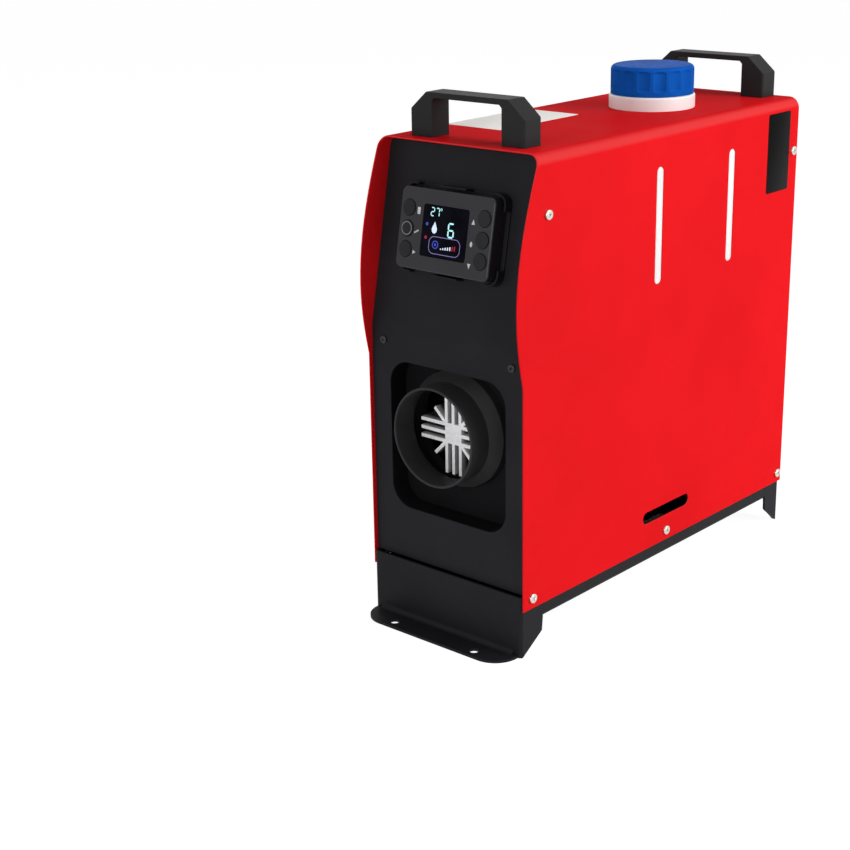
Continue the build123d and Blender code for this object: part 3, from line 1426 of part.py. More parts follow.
with BuildPart() as screen:
    with BuildSketch(control_plane.offset(face_top - screen_sink)):
        RectangleRounded(screen_width - 2 * lap, screen_height - 2 * lap, screen_corner - lap)
    extrude(amount=-(control_wall - screen_sink + lap))
    with BuildSketch(control_plane.offset(face_top - control_wall - lap)):
        RectangleRounded(screen_width + 2 * screen_flange, screen_height + 2 * screen_flange,
                         screen_corner)
    extrude(amount=-screen_depth)
screen.part.label = "screen"
export_step(screen.part, "parts/screen.step")

board_base = back_base + control_wall + board_lift
board_top = board_base + board_thickness
with BuildPart() as control_board:
    with BuildSketch(control_plane.offset(board_base)):
        Rectangle(control_width - 2 * control_wall - 2 * board_margin,
                  control_height - 2 * control_wall - 2 * board_margin)
    extrude(amount=board_thickness)
    # the screen's carrier stands on the board
    with BuildSketch(control_plane.offset(board_top)):
        Rectangle(screen_width * 0.9, screen_height * 0.9)
    extrude(amount=face_top - control_wall - screen_depth - 2 * lap - board_top)
control_board.part.label = "control_board"
export_step(control_board.part, "parts/control_board.step")

button_under = face_top - control_wall - button_gap - button_flange
switch_height = button_under - button_travel - button_gap - board_top
with BuildPart() as button_switches:
    with BuildSketch(control_plane.offset(board_top)):
        with Locations(*[(x, y) for x in (-button_column, button_column) for y in button_rows]):
            Rectangle(switch_size, switch_size)
    extrude(amount=switch_height * 0.6)
    with BuildSketch(control_plane.offset(board_top)):
        with Locations(*[(x, y) for x in (-button_column, button_column) for y in button_rows]):
            Circle(switch_size / 3)
    extrude(amount=switch_height)
button_switches.part.label = "button_switches"
export_step(button_switches.part, "parts/button_switches.step")


def button(x, y):
    """Round key with a flange that keeps it behind the bezel."""
    with BuildPart() as key:
        with BuildSketch(control_plane.offset(button_under)):
            with Locations((x, y)):
                Circle(button_radius + 2 * button_gap)
        extrude(amount=button_flange)
        with BuildSketch(control_plane.offset(button_under)):
            with Locations((x, y)):
                Circle(button_radius)
        extrude(amount=face_top + button_proud - button_under)
        crown = control_plane.offset(face_top + button_proud)
        fillet([e for e in edges() if abs(crown.to_local_coords(e.center()).Z) < button_gap / 2],
               button_proud / 2)
    return key.part


for column, x in (("left", -button_column), ("right", button_column)):
    for row, y in zip(("top", "middle", "bottom"), button_rows):
        key = button(x, y)
        key.label = f"button_{column}_{row}"
        export_step(key, f"parts/button_{column}_{row}.step")
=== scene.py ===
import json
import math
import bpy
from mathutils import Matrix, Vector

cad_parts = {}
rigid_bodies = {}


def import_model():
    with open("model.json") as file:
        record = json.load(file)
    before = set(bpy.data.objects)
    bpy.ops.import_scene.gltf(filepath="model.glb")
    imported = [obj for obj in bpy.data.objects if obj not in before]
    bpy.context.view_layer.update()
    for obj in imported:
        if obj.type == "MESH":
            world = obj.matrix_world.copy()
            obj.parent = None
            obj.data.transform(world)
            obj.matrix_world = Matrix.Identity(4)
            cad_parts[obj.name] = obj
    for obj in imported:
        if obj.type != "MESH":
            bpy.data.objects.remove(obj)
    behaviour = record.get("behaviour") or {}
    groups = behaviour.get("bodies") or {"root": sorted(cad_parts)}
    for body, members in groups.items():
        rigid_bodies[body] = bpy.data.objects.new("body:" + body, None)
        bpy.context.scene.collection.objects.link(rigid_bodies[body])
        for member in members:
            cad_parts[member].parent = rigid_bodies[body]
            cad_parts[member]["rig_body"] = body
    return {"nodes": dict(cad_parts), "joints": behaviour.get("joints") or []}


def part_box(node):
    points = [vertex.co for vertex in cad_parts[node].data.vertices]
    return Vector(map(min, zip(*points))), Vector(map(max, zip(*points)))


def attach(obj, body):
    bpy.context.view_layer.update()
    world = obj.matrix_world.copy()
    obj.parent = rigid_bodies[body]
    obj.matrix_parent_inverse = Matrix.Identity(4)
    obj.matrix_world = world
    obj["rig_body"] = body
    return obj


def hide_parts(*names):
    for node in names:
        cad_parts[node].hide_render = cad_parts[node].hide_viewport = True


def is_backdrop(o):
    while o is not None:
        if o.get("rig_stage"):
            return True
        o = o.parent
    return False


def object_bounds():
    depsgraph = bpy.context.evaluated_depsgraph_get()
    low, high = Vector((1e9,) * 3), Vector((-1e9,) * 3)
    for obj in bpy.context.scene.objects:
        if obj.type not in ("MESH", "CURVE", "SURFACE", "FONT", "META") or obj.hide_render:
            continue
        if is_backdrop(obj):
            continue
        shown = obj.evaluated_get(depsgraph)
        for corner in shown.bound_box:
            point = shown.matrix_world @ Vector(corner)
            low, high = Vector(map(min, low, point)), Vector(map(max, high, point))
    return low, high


bl_info = {
    "name": "Diesel air heater finish",
    "version": (1, 0, 0),
    "blender": (4, 5, 0),
    "location": "View3D > Sidebar > Heater",
    "description": "Paint, mouldings, display, screws and studio of a portable diesel air heater",
    "category": "Object",
}

import bpy
from mathutils import Matrix, Vector

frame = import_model()
cad_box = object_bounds()

MM = 0.001
WELD = 2e-6
NODES = frame["nodes"]
RIGHT = Vector((1, 0, 0))
FACING_RIGHT = Matrix.Rotation(math.pi / 2, 4, "Z") @ Matrix.Rotation(math.pi / 2, 4, "X")


# ---- settings
def length(name, description, size):
    """A length property, its default given in millimetres."""
    return bpy.props.FloatProperty(name=name, description=description, default=size * MM,
                                   unit="LENGTH", subtype="DISTANCE", precision=5)


def angle(name, description, degrees):
    """An angle property, its default given in degrees."""
    return bpy.props.FloatProperty(name=name, description=description,
                                   default=math.radians(degrees), subtype="ANGLE")


def colour(name, description, default):
    """A colour property."""
    return bpy.props.FloatVectorProperty(name=name, description=description, default=default,
                                         size=3, min=0, max=1, subtype="COLOR")


def amount(name, description, default):
    """A plain number property."""
    return bpy.props.FloatProperty(name=name, description=description, default=default, min=0)


class HeaterColours(bpy.types.PropertyGroup):
    """Colours of the heater's finishes"""
    case: colour("Case", "Red powder coat of the shell", (0.78, 0.012, 0.016))
    coat: colour("Black coat", "Black powder coat of the panels and feet", (0.0105, 0.0105, 0.0125))
    moulding: colour("Mouldings", "Black moulded plastic", (0.017, 0.017, 0.018))
    housing: colour("Controller", "Dark grey housing of the controller", (0.013, 0.013, 0.018))
    key: colour("Keys", "Keys of the controller", (0.018, 0.018, 0.021))
    tank: colour("Tank", "Natural white of the tank", (0.88, 0.88, 0.87))
    collar: colour("Collar", "White of the collar round the neck", (0.96, 1.0, 1.0))
    # the pocket is darker than the other mouldings: painted shade of the recess round the outlet
    tray: colour("Pocket", "Dull black of the pocket round the outlet", (0.007, 0.007, 0.008))
    duct: colour("Duct", "Black of the outlet duct", (0.028, 0.028, 0.029))
    cap: colour("Cap", "Blue of the filler cap", (0.006, 0.10, 0.48))
    rubber: colour("Rubber", "Seals, grommet and hoses", (0.016, 0.016, 0.016))
    casting: colour("Casting", "Cast aluminium", (0.97, 0.97, 1.0))
    zinc: colour("Zinc", "Zinc plated steel", (0.66, 0.65, 0.62))
    print_ink: colour("Key marks", "Ink of the marks beside the keys", (0.62, 0.62, 0.64))
    sticker: colour("Pale sticker", "Bare sticker on the top", (1.0, 0.93, 0.88))
    dark_sticker: colour("Dark sticker", "Bare sticker on the side", (0.005, 0.0045, 0.0045))


class HeaterTrim(bpy.types.PropertyGroup):
    """Sizes of the edges, screws, stickers and thread"""
    sheet_edge: length("Sheet edge", "Rounding of the painted sheet's cut edges", 0.5)
    moulded_edge: length("Moulded edge", "Rounding of the moulded pieces' edges", 0.4)
    recess_width: length("Recess width", "Width of a screw's cross recess", 0.9)
    recess_span: amount("Recess span", "Span of a screw's cross recess over its head's radius", 3.9 / 3.7)
    recess_depth: length("Recess depth", "Depth of a screw's cross recess", 1.2)
    sticker_thickness: length("Sticker", "Thickness of the stickers", 0.15)
    sticker_corner: length("Sticker corner", "Corner radius of the stickers", 1.6)
    top_sticker_width: length("Top sticker width", "Size of the top sticker across the case", 52)
    top_sticker_depth: length("Top sticker depth", "Size of the top sticker along the case", 95)
    top_sticker_x: length("Top sticker place", "Middle of the top sticker across the case", -40)
    top_sticker_station: length("Top sticker station", "Its middle behind the front panel's face", 126.5)
    side_sticker_width: length("Side sticker width", "Size of the side sticker along the case", 33)
    side_sticker_height: length("Side sticker height", "Height of the side sticker", 63)
    side_sticker_setback: length("Side sticker place", "Middle of the side sticker off the rear edge", 29.5)
    side_sticker_drop: length("Side sticker drop", "Middle of the side sticker below the top", 40.5)
    rib_gap: length("Level rib gap", "Gap between a level slot and the tank's rib in it", 0.15)
    rib_sink: length("Level rib sink", "How far the tank's ribs stay below the shell's face", 0.35)
    thread_pitch: length("Thread pitch", "Rise of the neck's thread in a turn", 6.5)
    thread_height: length("Thread height", "How far the thread stands out of the neck's root", 1.0)
    thread_root: length("Thread root", "Width of the thread at its root", 2.6)
    thread_crest: length("Thread crest", "Width of the thread at its crest", 1.1)
    thread_turns: amount("Thread turns", "Turns of the neck's thread", 1.55)


class HeaterDisplay(bpy.types.PropertyGroup):
    """Sizes of the marks and the lit picture on the controller"""
    mark: length("Mark", "Half the size of a mark beside a key", 1.25)
    left_drop: length("Left mark drop", "How far the left marks stand below their keys' middle", 1.3)
    right_drop: length("Right mark drop", "How far the right marks stand below their keys' middle", 3.9)
    mark_column: length("Mark column", "How far the marks stand from the middle", 25.2)
    mark_thickness: length("Mark thickness", "Thickness of the printed marks", 0.06)
    # the pale ring on a key is a painted highlight of the key's rim
    rim_highlight_radius: length("Ring radius", "Outer radius of the pale ring on a key", 4.9)
    rim_highlight_width: length("Ring width", "Width of the pale ring on a key", 0.75)
    small_digit: length("Small digit", "Height of the temperature's digits", 5.6)
    large_digit: length("Large digit", "Height of the level's digit", 9.5)
    stroke: amount("Stroke", "Stroke of a digit as a share of its height", 0.13)
    glow: amount("Glow", "Strength of the lit marks", 0.62)


class HeaterStudio(bpy.types.PropertyGroup):
    """Camera, lamps and floor"""
    azimuth: angle("Azimuth", "Camera's turn round the heater", 42.076)
    elevation: angle("Elevation", "Camera's height as an angle", 18.531)
    roll: angle("Roll", "Camera's roll", -1.052)
    camera_x: length("Camera right", "Camera's place to the right", 771.75)
    camera_y: length("Camera back", "Camera's place to the back", -1041.4)
    camera_z: length("Camera up", "Camera's height above the floor", 555.25)
    lens: amount("Lens", "Focal length in millimetres", 72.18)
    key_power: amount("Key", "Power of the lamp on the right", 24.0)
    fill_power: amount("Fill", "Power of the lamp in front", 18.0)
    top_power: amount("Top", "Power of the lamp above", 8.0)
    ambient: amount("Ambient", "Strength of the light from all round", 0.2)
    floor_share: amount("Floor white", "Share of plain white in the floor's look", 0.72)
    floor_white: amount("Floor level", "Brightness of the floor's plain white", 1.29)
    floor_reach: length("Floor", "Half the size of the floor", 14000)


def finishes(context):
    """The scene's colours and trim sizes."""
    return context.scene.heater_colours, context.scene.heater_trim


# ---- material helpers
def tree_of(material):
    """A material's nodes and links."""
    return material.node_tree.nodes, material.node_tree.links


def new_finish(name, base, roughness, **sockets):
    """A principled material with what is the same all over its surface."""
    material = bpy.data.materials.new(name)
    material.use_nodes = True
    shader = material.node_tree.nodes["Principled BSDF"]
    shader.inputs["Base Color"].default_value = (*base, 1)
    shader.inputs["Roughness"].default_value = roughness
    for socket, value in sockets.items():
        shader.inputs[socket.replace("_", " ")].default_value = value
    return material


def pattern(material, kind="Noise", stretch=(1, 1, 1), **sockets):
    """A texture on the piece's own coordinates, in waves per metre. Returns its grey value."""
    nodes, links = tree_of(material)
    place = nodes.new("ShaderNodeTexCoord")
    mapping = nodes.new("ShaderNodeMapping")
    mapping.inputs["Scale"].default_value = stretch
    texture = nodes.new("ShaderNodeTex" + kind)
    for socket, value in sockets.items():
        texture.inputs[socket.replace("_", " ")].default_value = value
    links.new(place.outputs["Object"], mapping.inputs["Vector"])
    links.new(mapping.outputs["Vector"], texture.inputs["Vector"])
    return texture.outputs["Distance" if kind == "Voronoi" else "Fac"]


def tint(material, grey, dark, light, low=0.35, high=0.65):
    """Varies the colour between two tones."""
    nodes, links = tree_of(material)
    ramp = nodes.new("ShaderNodeValToRGB")
    ramp.color_ramp.elements[0].position = low
    ramp.color_ramp.elements[1].position = high
    ramp.color_ramp.elements[0].color = (*dark, 1)
    ramp.color_ramp.elements[1].color = (*light, 1)
    links.new(grey, ramp.inputs["Fac"])
    links.new(ramp.outputs["Color"], nodes["Principled BSDF"].inputs["Base Color"])


def spread(material, value, low, high, start=0.0, end=1.0):
    """Maps a value's span from low to high onto the span from start to end."""
    nodes, links = tree_of(material)
    span = nodes.new("ShaderNodeMapRange")
    limits = {"From Min": low, "From Max": high, "To Min": start, "To Max": end}
    for socket, limit in limits.items():
        span.inputs[socket].default_value = limit
    links.new(value, span.inputs["Value"])
    return span.outputs["Result"]


def gloss(material, grey, smooth, rough):
    """Varies the roughness between two values."""
    nodes, links = tree_of(material)
    links.new(spread(material, grey, 0.3, 0.7, smooth, rough), nodes["Principled BSDF"].inputs["Roughness"])


def component(material, kind, axis):
    """One component of the piece's own place (Object) or of its normal (Normal)."""
    nodes, links = tree_of(material)
    place, split = nodes.new("ShaderNodeTexCoord"), nodes.new("ShaderNodeSeparateXYZ")
    links.new(place.outputs[kind], split.inputs["Vector"])
    return split.outputs[axis]


def blend(material, share, tone):
    """Blends the colour towards a tone by a share."""
    nodes, links = tree_of(material)
    skin, mix = nodes["Principled BSDF"].inputs["Base Color"], nodes.new("ShaderNodeMixRGB")
    mix.inputs["Color2"].default_value = (*tone, 1)
    links.new(share, mix.inputs["Fac"])
    links.new(skin.links[0].from_socket, mix.inputs["Color1"])
    links.new(mix.outputs["Color"], skin)


def relief(material, grey, depth, strength=1.0):
    """Adds a fine relief, on top of one already there."""
    nodes, links = tree_of(material)
    normal = nodes["Principled BSDF"].inputs["Normal"]
    bump = nodes.new("ShaderNodeBump")
    bump.inputs["Distance"].default_value = depth
    bump.inputs["Strength"].default_value = strength
    if normal.is_linked:
        links.new(normal.links[0].from_socket, bump.inputs["Normal"])
    links.new(grey, bump.inputs["Height"])
    links.new(bump.outputs["Normal"], normal)


def shade(base, factor):
    """A lighter or darker tone of a colour."""
    return tuple(min(1.0, channel * factor) for channel in base)


def clouds(material, base, scale, detail, dark, light):
    """Clouds of a darker and a lighter tone of the colour. Returns their grey value."""
    grey = pattern(material, Scale=scale, Detail=detail)
    tint(material, grey, shade(base, dark), shade(base, light))
    return grey


# ---- finishes
def red_paint(base):
    """Smooth powder coat: faint clouds, orange peel, and a painted highlight that makes it paler over the
    rounded bends.
    """
    paint = new_finish("red_paint", base, 0.45, Specular_IOR_Level=0.001)
    clouds(paint, base, 7, 3, 0.94, 1.04)
    nodes, links = tree_of(paint)
    # painted highlight: faces that lean between upright and level, the rounded bends of the top, are blended
    # towards a paler red
    bend_highlight = nodes.new("ShaderNodeValToRGB")
    stops = bend_highlight.color_ramp.elements
    stops[0].position, stops[1].position = 0.08, 0.97
    stops[0].color = stops[1].color = (0, 0, 0, 1)
    for position in (0.4, 0.75):
        stops.new(position).color = (1, 1, 1, 1)
    links.new(component(paint, "Normal", "Z"), bend_highlight.inputs["Fac"])
    blend(paint, bend_highlight.outputs["Color"], (base[0], 0.045, 0.048))
    gloss(paint, pattern(paint, Scale=24, Detail=4), 0.4, 0.5)
    relief(paint, pattern(paint, Scale=260, Detail=1), 0.00004, 0.5)
    relief(paint, pattern(paint, Scale=1400, Detail=2), 0.00001, 0.5)
    return paint


def black_coat(base):
    """Fine-textured black powder coat with a little dust in its grain."""
    coat = new_finish("black_coat", base, 0.5, Specular_IOR_Level=0.09)
    grain = pattern(coat, Scale=1500, Detail=3)
    clouds(coat, base, 14, 5, 0.85, 1.25)
    gloss(coat, grain, 0.42, 0.6)
    relief(coat, grain, 0.00005, 0.6)
    return coat


def black_screw_finish(base):
    """Blackened steel, worn paler where the driver has slipped."""
    steel = new_finish("black_screw", base, 0.4, Metallic=0.6)
    scratch = pattern(steel, Scale=900, Detail=3)
    tint(steel, scratch, base, (0.10, 0.10, 0.10), 0.55, 0.85)
    relief(steel, scratch, 0.00003, 0.4)
    return steel


def moulded_plastic(name, base, rough=0.46, grain_scale=1900, shine=0.1):
    """Spark-eroded moulding: an even pebble, slight flow clouds."""
    plastic = new_finish(name, base, rough, Specular_IOR_Level=shine)
    clouds(plastic, base, 18, 3, 0.88, 1.2)
    pebble = pattern(plastic, "Voronoi", Scale=grain_scale)
    gloss(plastic, pattern(plastic, Scale=grain_scale / 2, Detail=2), rough - 0.06, rough + 0.08)
    relief(plastic, pebble, 0.00004, 0.45)
    return plastic


def tank_plastic(base):
    """Blown polyethylene: waxy, slightly uneven, light goes a little way in."""
    wax = new_finish("natural_tank", base, 0.42, Subsurface_Weight=0.25, Subsurface_Scale=0.004)
    wax.node_tree.nodes["Principled BSDF"].inputs["Subsurface Radius"].default_value = (1.0, 0.8, 0.6)
    clouds(wax, base, 11, 2, 0.96, 1.03)
    relief(wax, pattern(wax, Scale=60, Detail=2), 0.00025, 0.5)
    relief(wax, pattern(wax, Scale=900, Detail=2), 0.00003, 0.4)
    return wax


def collar_plastic(base):
    """Plain white moulding with faint turned rings."""
    plastic = new_finish("collar_white", base, 0.38)
    ring = pattern(plastic, "Wave", (0, 0, 1), Scale=260, Distortion=0.6)
    clouds(plastic, base, 30, 3, 0.95, 1.02)
    relief(plastic, ring, 0.00003, 0.4)
    return plastic


def cap_plastic(base):
    """Blue moulded cap: satin, a fine pebble and a paler bloom."""
    plastic = new_finish("cap_blue", base, 0.36, Specular_IOR_Level=0.003)
    clouds(plastic, base, 40, 4, 0.9, 1.12)
    gloss(plastic, pattern(plastic, Scale=300, Detail=3), 0.28, 0.4)
    relief(plastic, pattern(plastic, "Voronoi", Scale=1500), 0.00003, 0.35)
    return plastic


def soft_rubber(base):
    """Dull rubber with a pale bloom in patches."""
    rubber = new_finish("soft_rubber", base, 0.72, Sheen_Weight=0.15)
    clouds(rubber, base, 55, 5, 0.8, 1.6)
    relief(rubber, pattern(rubber, Scale=800, Detail=3), 0.00005, 0.5)
    return rubber


def cast_aluminium(base, shade_start, shade_full):
    """Sand-fine casting skin in its base tone at the front, with painted shade that darkens it further in
    along Y.
    """
    metal = new_finish("cast_aluminium", base, 0.5, Metallic=0.1)
    speckle = clouds(metal, base, 420, 6, 0.9, 1.1)
    # painted shade: between the two depths along Y the colour is blended towards a twentieth of the base
    # tone, as the duct's depth would shade it
    depth = spread(metal, component(metal, "Object", "Y"), shade_start, shade_full)
    blend(metal, depth, shade(base, 0.05))
    gloss(metal, pattern(metal, Scale=120, Detail=4), 0.42, 0.62)
    relief(metal, speckle, 0.00006, 0.5)
    return metal


def zinc_plate(base):
    """Bright zinc with the slight rainbow blotches of passivation."""
    metal = new_finish("zinc_plate", base, 0.3, Metallic=1.0)
    blotch = pattern(metal, Scale=170, Detail=4)
    tint(metal, blotch, shade(base, 0.88), (base[0] * 1.02, base[1] * 0.98, base[2] * 0.86))
    gloss(metal, pattern(metal, Scale=600, Detail=3), 0.22, 0.4)
    relief(metal, pattern(metal, Scale=1300, Detail=3), 0.00002, 0.5)
    return metal


def drawn_steel(name, base, stretch, warm=(0.52, 0.44, 0.36)):
    """Stainless tube or sheet: long fine draw lines and a straw tint of heat."""
    metal = new_finish(name, base, 0.3, Metallic=1.0)
    lines = pattern(metal, stretch=stretch, Scale=900, Detail=5)
    tint(metal, pattern(metal, Scale=35, Detail=3), base, warm, 0.4, 0.8)
    gloss(metal, lines, 0.2, 0.42)
    relief(metal, lines, 0.00003, 0.5)
    return metal


def turned_brass(base):
    """Turned brass with fine tool rings."""
    metal = new_finish("turned_brass", base, 0.28, Metallic=1.0)
    rings = pattern(metal, "Wave", (0, 0, 1), Scale=900, Distortion=0.4)
    clouds(metal, base, 150, 4, 0.85, 1.05)
    relief(metal, rings, 0.00002, 0.5)
    return metal


def circuit_board(base):
    """Green solder mask, paler over a lattice of traces."""
    board = new_finish("circuit_board", base, 0.3, Coat_Weight=0.3)
    traces = pattern(board, "Brick", Scale=220)
    tint(board, traces, shade(base, 1.5), shade(base, 0.8))
    relief(board, traces, 0.00004, 0.5)
    return board


def screen_glass():
    """Black display glass, a trace of finger haze in its gloss."""
    glass = new_finish("screen_glass", (0.004, 0.004, 0.007), 0.12, Specular_IOR_Level=0.012)
    haze = pattern(glass, Scale=90, Detail=5)
    gloss(glass, haze, 0.1, 0.24)
    tint(glass, haze, (0.003, 0.003, 0.006), (0.006, 0.006, 0.011))
    return glass


def printed(name, base, rough=0.55, shine=0.02):
    """Ink or sticker film: nearly even, with the tooth of its carrier."""
    ink = new_finish(name, base, rough, Specular_IOR_Level=shine)
    tooth = clouds(ink, base, 700, 4, 0.93, 1.05)
    relief(ink, tooth, 0.00001, 0.4)
    return ink


def lit(name, base, glow):
    """A lit picture element with the display's fine rows."""
    light = new_finish(name, base, 0.4, Specular_IOR_Level=0.02, Emission_Strength=glow)
    shader = light.node_tree.nodes["Principled BSDF"]
    shader.inputs["Emission Color"].default_value = (*base, 1)
    tint(light, pattern(light, "Wave", (0, 0, 1), Scale=1100), shade(base, 0.85), base)
    return light


# ---- modelling helpers
def deselect():
    """Leaves nothing selected, in object mode."""
    if bpy.context.object and bpy.context.object.mode != "OBJECT":
        bpy.ops.object.mode_set(mode="OBJECT")
    bpy.ops.object.select_all(action="DESELECT")


def pick(piece):
    """Makes piece the only selected and the active object."""
    deselect()
    piece.select_set(True)
    bpy.context.view_layer.objects.active = piece


def start(add, name, **size):
    """Adds a mesh, lamp or camera by itself and names it."""
    deselect()
    add(**size)
    piece = bpy.context.object
    piece.name = piece.data.name = name
    return piece


def choose(piece, wanted=lambda middle, way: True, kind="FACE"):
    """In edit mode, selects the faces, edges or vertices that pass the test, or else all."""
    pick(piece)
    bpy.ops.object.mode_set(mode="EDIT")
    bpy.ops.mesh.select_mode(type=kind)
    bpy.ops.mesh.select_all(action="DESELECT")
    bpy.ops.object.mode_set(mode="OBJECT")
    mesh = piece.data
    if kind == "FACE":
        for face in mesh.polygons:
            face.select = wanted(face.center, face.normal)
    elif kind == "EDGE":
        for edge in mesh.edges:
            ends = [mesh.vertices[v].co for v in edge.vertices]
            edge.select = wanted((ends[0] + ends[1]) / 2, ends[1] - ends[0])
    else:
        for vertex in mesh.vertices:
            vertex.select = wanted(vertex.co, vertex.normal)
    bpy.ops.object.mode_set(mode="EDIT")


def close_up(piece):
    """Merges the points that meet and turns all faces outwards."""
    choose(piece)
    bpy.ops.mesh.remove_doubles(threshold=1e-6)
    bpy.ops.mesh.select_all(action="SELECT")
    bpy.ops.mesh.normals_make_consistent(inside=False)
    deselect()


def modify(piece, kind, **settings):
    """Adds a modifier to a finished shape and applies it."""
    pick(piece)
    modifier = piece.modifiers.new(kind.lower(), kind)
    for setting, value in settings.items():
        setattr(modifier, setting, value)
    bpy.ops.object.modifier_apply(modifier=modifier.name)


def settle(piece, place=Matrix.Identity(4)):
    """Bakes a piece's place into its mesh, so that its object sits at the origin."""
    deselect()
    piece.data.transform(place @ piece.matrix_world)
    piece.matrix_world = Matrix.Identity(4)
    piece.data.update()
    return piece


def copies(master, places):
    """Copies of a master, each with its own mesh and place, joined under the master's name."""
    made = []
    for place in places:
        twin = master.copy()
        twin.data = master.data.copy()
        bpy.context.collection.objects.link(twin)
        settle(twin, place)
        made.append(twin)
    name = master.name
    bpy.data.objects.remove(master)
    return joined(name, made)


def joined(name, pieces):
    """Several meshes made one piece."""
    deselect()
    for piece in pieces:
        piece.select_set(True)
    bpy.context.view_layer.objects.active = pieces[0]
    if len(pieces) > 1:
        bpy.ops.object.join()
    whole = bpy.context.object
    whole.name = whole.data.name = name
    return whole


def smooth(piece, degrees=35):
    """Smooth shading, crisp past an angle."""
    pick(piece)
    bpy.ops.object.shade_smooth_by_angle(angle=math.radians(degrees))
    deselect()


def cover(piece, material):
    """Gives a piece one finish all over."""
    piece.data.materials.clear()
    piece.data.materials.append(material)


def wear(piece, material, body, slot):
    """Gives a new piece its finish and its body; its slot is not used."""
    cover(piece, material)
    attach(piece, body)
    return piece


def coat_nodes(material, *names):
    """Gives carried-over nodes their finish."""
    for name in names:
        cover(NODES[name], material)


def welded(node, name):
    """A copy of a node's mesh with its loose triangles merged."""
    piece = NODES[node].copy()
    piece.data = NODES[node].data.copy()
    piece.parent = None
    for key in list(piece.keys()):
        del piece[key]
    bpy.context.collection.objects.link(piece)
    piece.name = piece.data.name = name
    pick(piece)
    bpy.ops.mesh.customdata_custom_splitnormals_clear()
    bpy.ops.object.mode_set(mode="EDIT")
    bpy.ops.mesh.select_all(action="SELECT")
    bpy.ops.mesh.remove_doubles(threshold=WELD)
    bpy.ops.mesh.dissolve_limited(angle_limit=math.radians(0.2))
    bpy.ops.object.mode_set(mode="OBJECT")
    return piece


def eased(node, name, width, material, slot, segments=2, crisp=32, clamp=False):
    """A node's piece with its crisp edges eased, which then stands for the node."""
    body = NODES[node]["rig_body"]
    piece = welded(node, name)
    modify(piece, "BEVEL", width=width, segments=segments, limit_method="ANGLE",
           angle_limit=math.radians(crisp), use_clamp_overlap=clamp, harden_normals=False,
           miter_outer="MITER_ARC")
    if clamp:
        choose(piece)
        bpy.ops.mesh.remove_doubles(threshold=WELD)
        bpy.ops.mesh.select_all(action="SELECT")
        bpy.ops.mesh.dissolve_degenerate(threshold=WELD)
        deselect()
    smooth(piece, 38)
    modify(piece, "WEIGHTED_NORMAL", keep_sharp=True, weight=100)
    wear(piece, material, body, slot)
    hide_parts(node)
    return piece


def plate(name, width, height, thickness, corner, rim):
    """A flat plate with round corners and an eased rim, its back on z = 0."""
    sheet = start(bpy.ops.mesh.primitive_plane_add, name, size=1)
    sheet.scale = (width, height, 1)
    settle(sheet)
    choose(sheet, kind="VERT")
    bpy.ops.mesh.bevel(offset=corner, segments=8, affect="VERTICES")
    bpy.ops.mesh.select_all(action="SELECT")
    bpy.ops.mesh.extrude_region_move(TRANSFORM_OT_translate={"value": (0, 0, thickness)})
    close_up(sheet)
    modify(sheet, "BEVEL", width=rim, segments=2, limit_method="ANGLE")
    smooth(sheet)
    return sheet


def extent(points):
    """Lowest and highest corner of some points."""
    points = list(points)
    return [Vector([limit(p[i] for p in points) for i in range(3)]) for limit in (min, max)]


def solids_of(node):
    """(lowest, highest) corner of each loose solid in a node."""
    welded(node, "measured")
    bpy.ops.object.mode_set(mode="EDIT")
    bpy.ops.mesh.select_all(action="SELECT")
    bpy.ops.mesh.separate(type="LOOSE")
    bpy.ops.object.mode_set(mode="OBJECT")
    boxes = []
    for solid in list(bpy.context.selected_objects):
        boxes.append(extent(v.co for v in solid.data.vertices))
        bpy.data.objects.remove(solid)
    return sorted(boxes, key=lambda box: tuple(box[0]))


def controller_face():
    """The controller's own frame: right, up the face, out of it, with its origin mid face."""
    press = next(joint for joint in frame["joints"] if joint["name"] == "press_left_top")
    out = -Vector(press["axis"]).normalized()
    up = out.cross(RIGHT)
    place = Matrix((RIGHT, up, out)).transposed().to_4x4()
    low, high = extent(place.inverted() @ v.co for v in NODES["control_front"].data.vertices)
    place.translation = up * (low.y + high.y) / 2 + out * high.z
    return place


def on_face(node, face):
    """Middle of a node in the controller's frame, and its height out of the face."""
    low, high = extent(face.inverted() @ v.co for v in NODES[node].data.vertices)
    return Vector(((low.x + high.x) / 2, (low.y + high.y) / 2, high.z))


# ---- case
class HEATER_OT_case(bpy.types.Operator):
    """Paints the sheet case and eases its cut edges"""
    bl_idname = "heater.case"
    bl_label = "Case"

    def execute(self, context):
        colours, trim = finishes(context)
        red, black = red_paint(colours.case), black_coat(colours.coat)
        eased("case_shell", "shell_painted", trim.sheet_edge, red, "red_paint")
        for node in ("front_panel", "rear_panel", "front_foot", "rear_foot", "base_pan"):
            # clamped where the bends are tight: the rear panel's full easing crosses over itself
            eased(node, node + "_coated", trim.sheet_edge, black, "black_coat",
                  clamp=node != "front_panel")
        return {"FINISHED"}


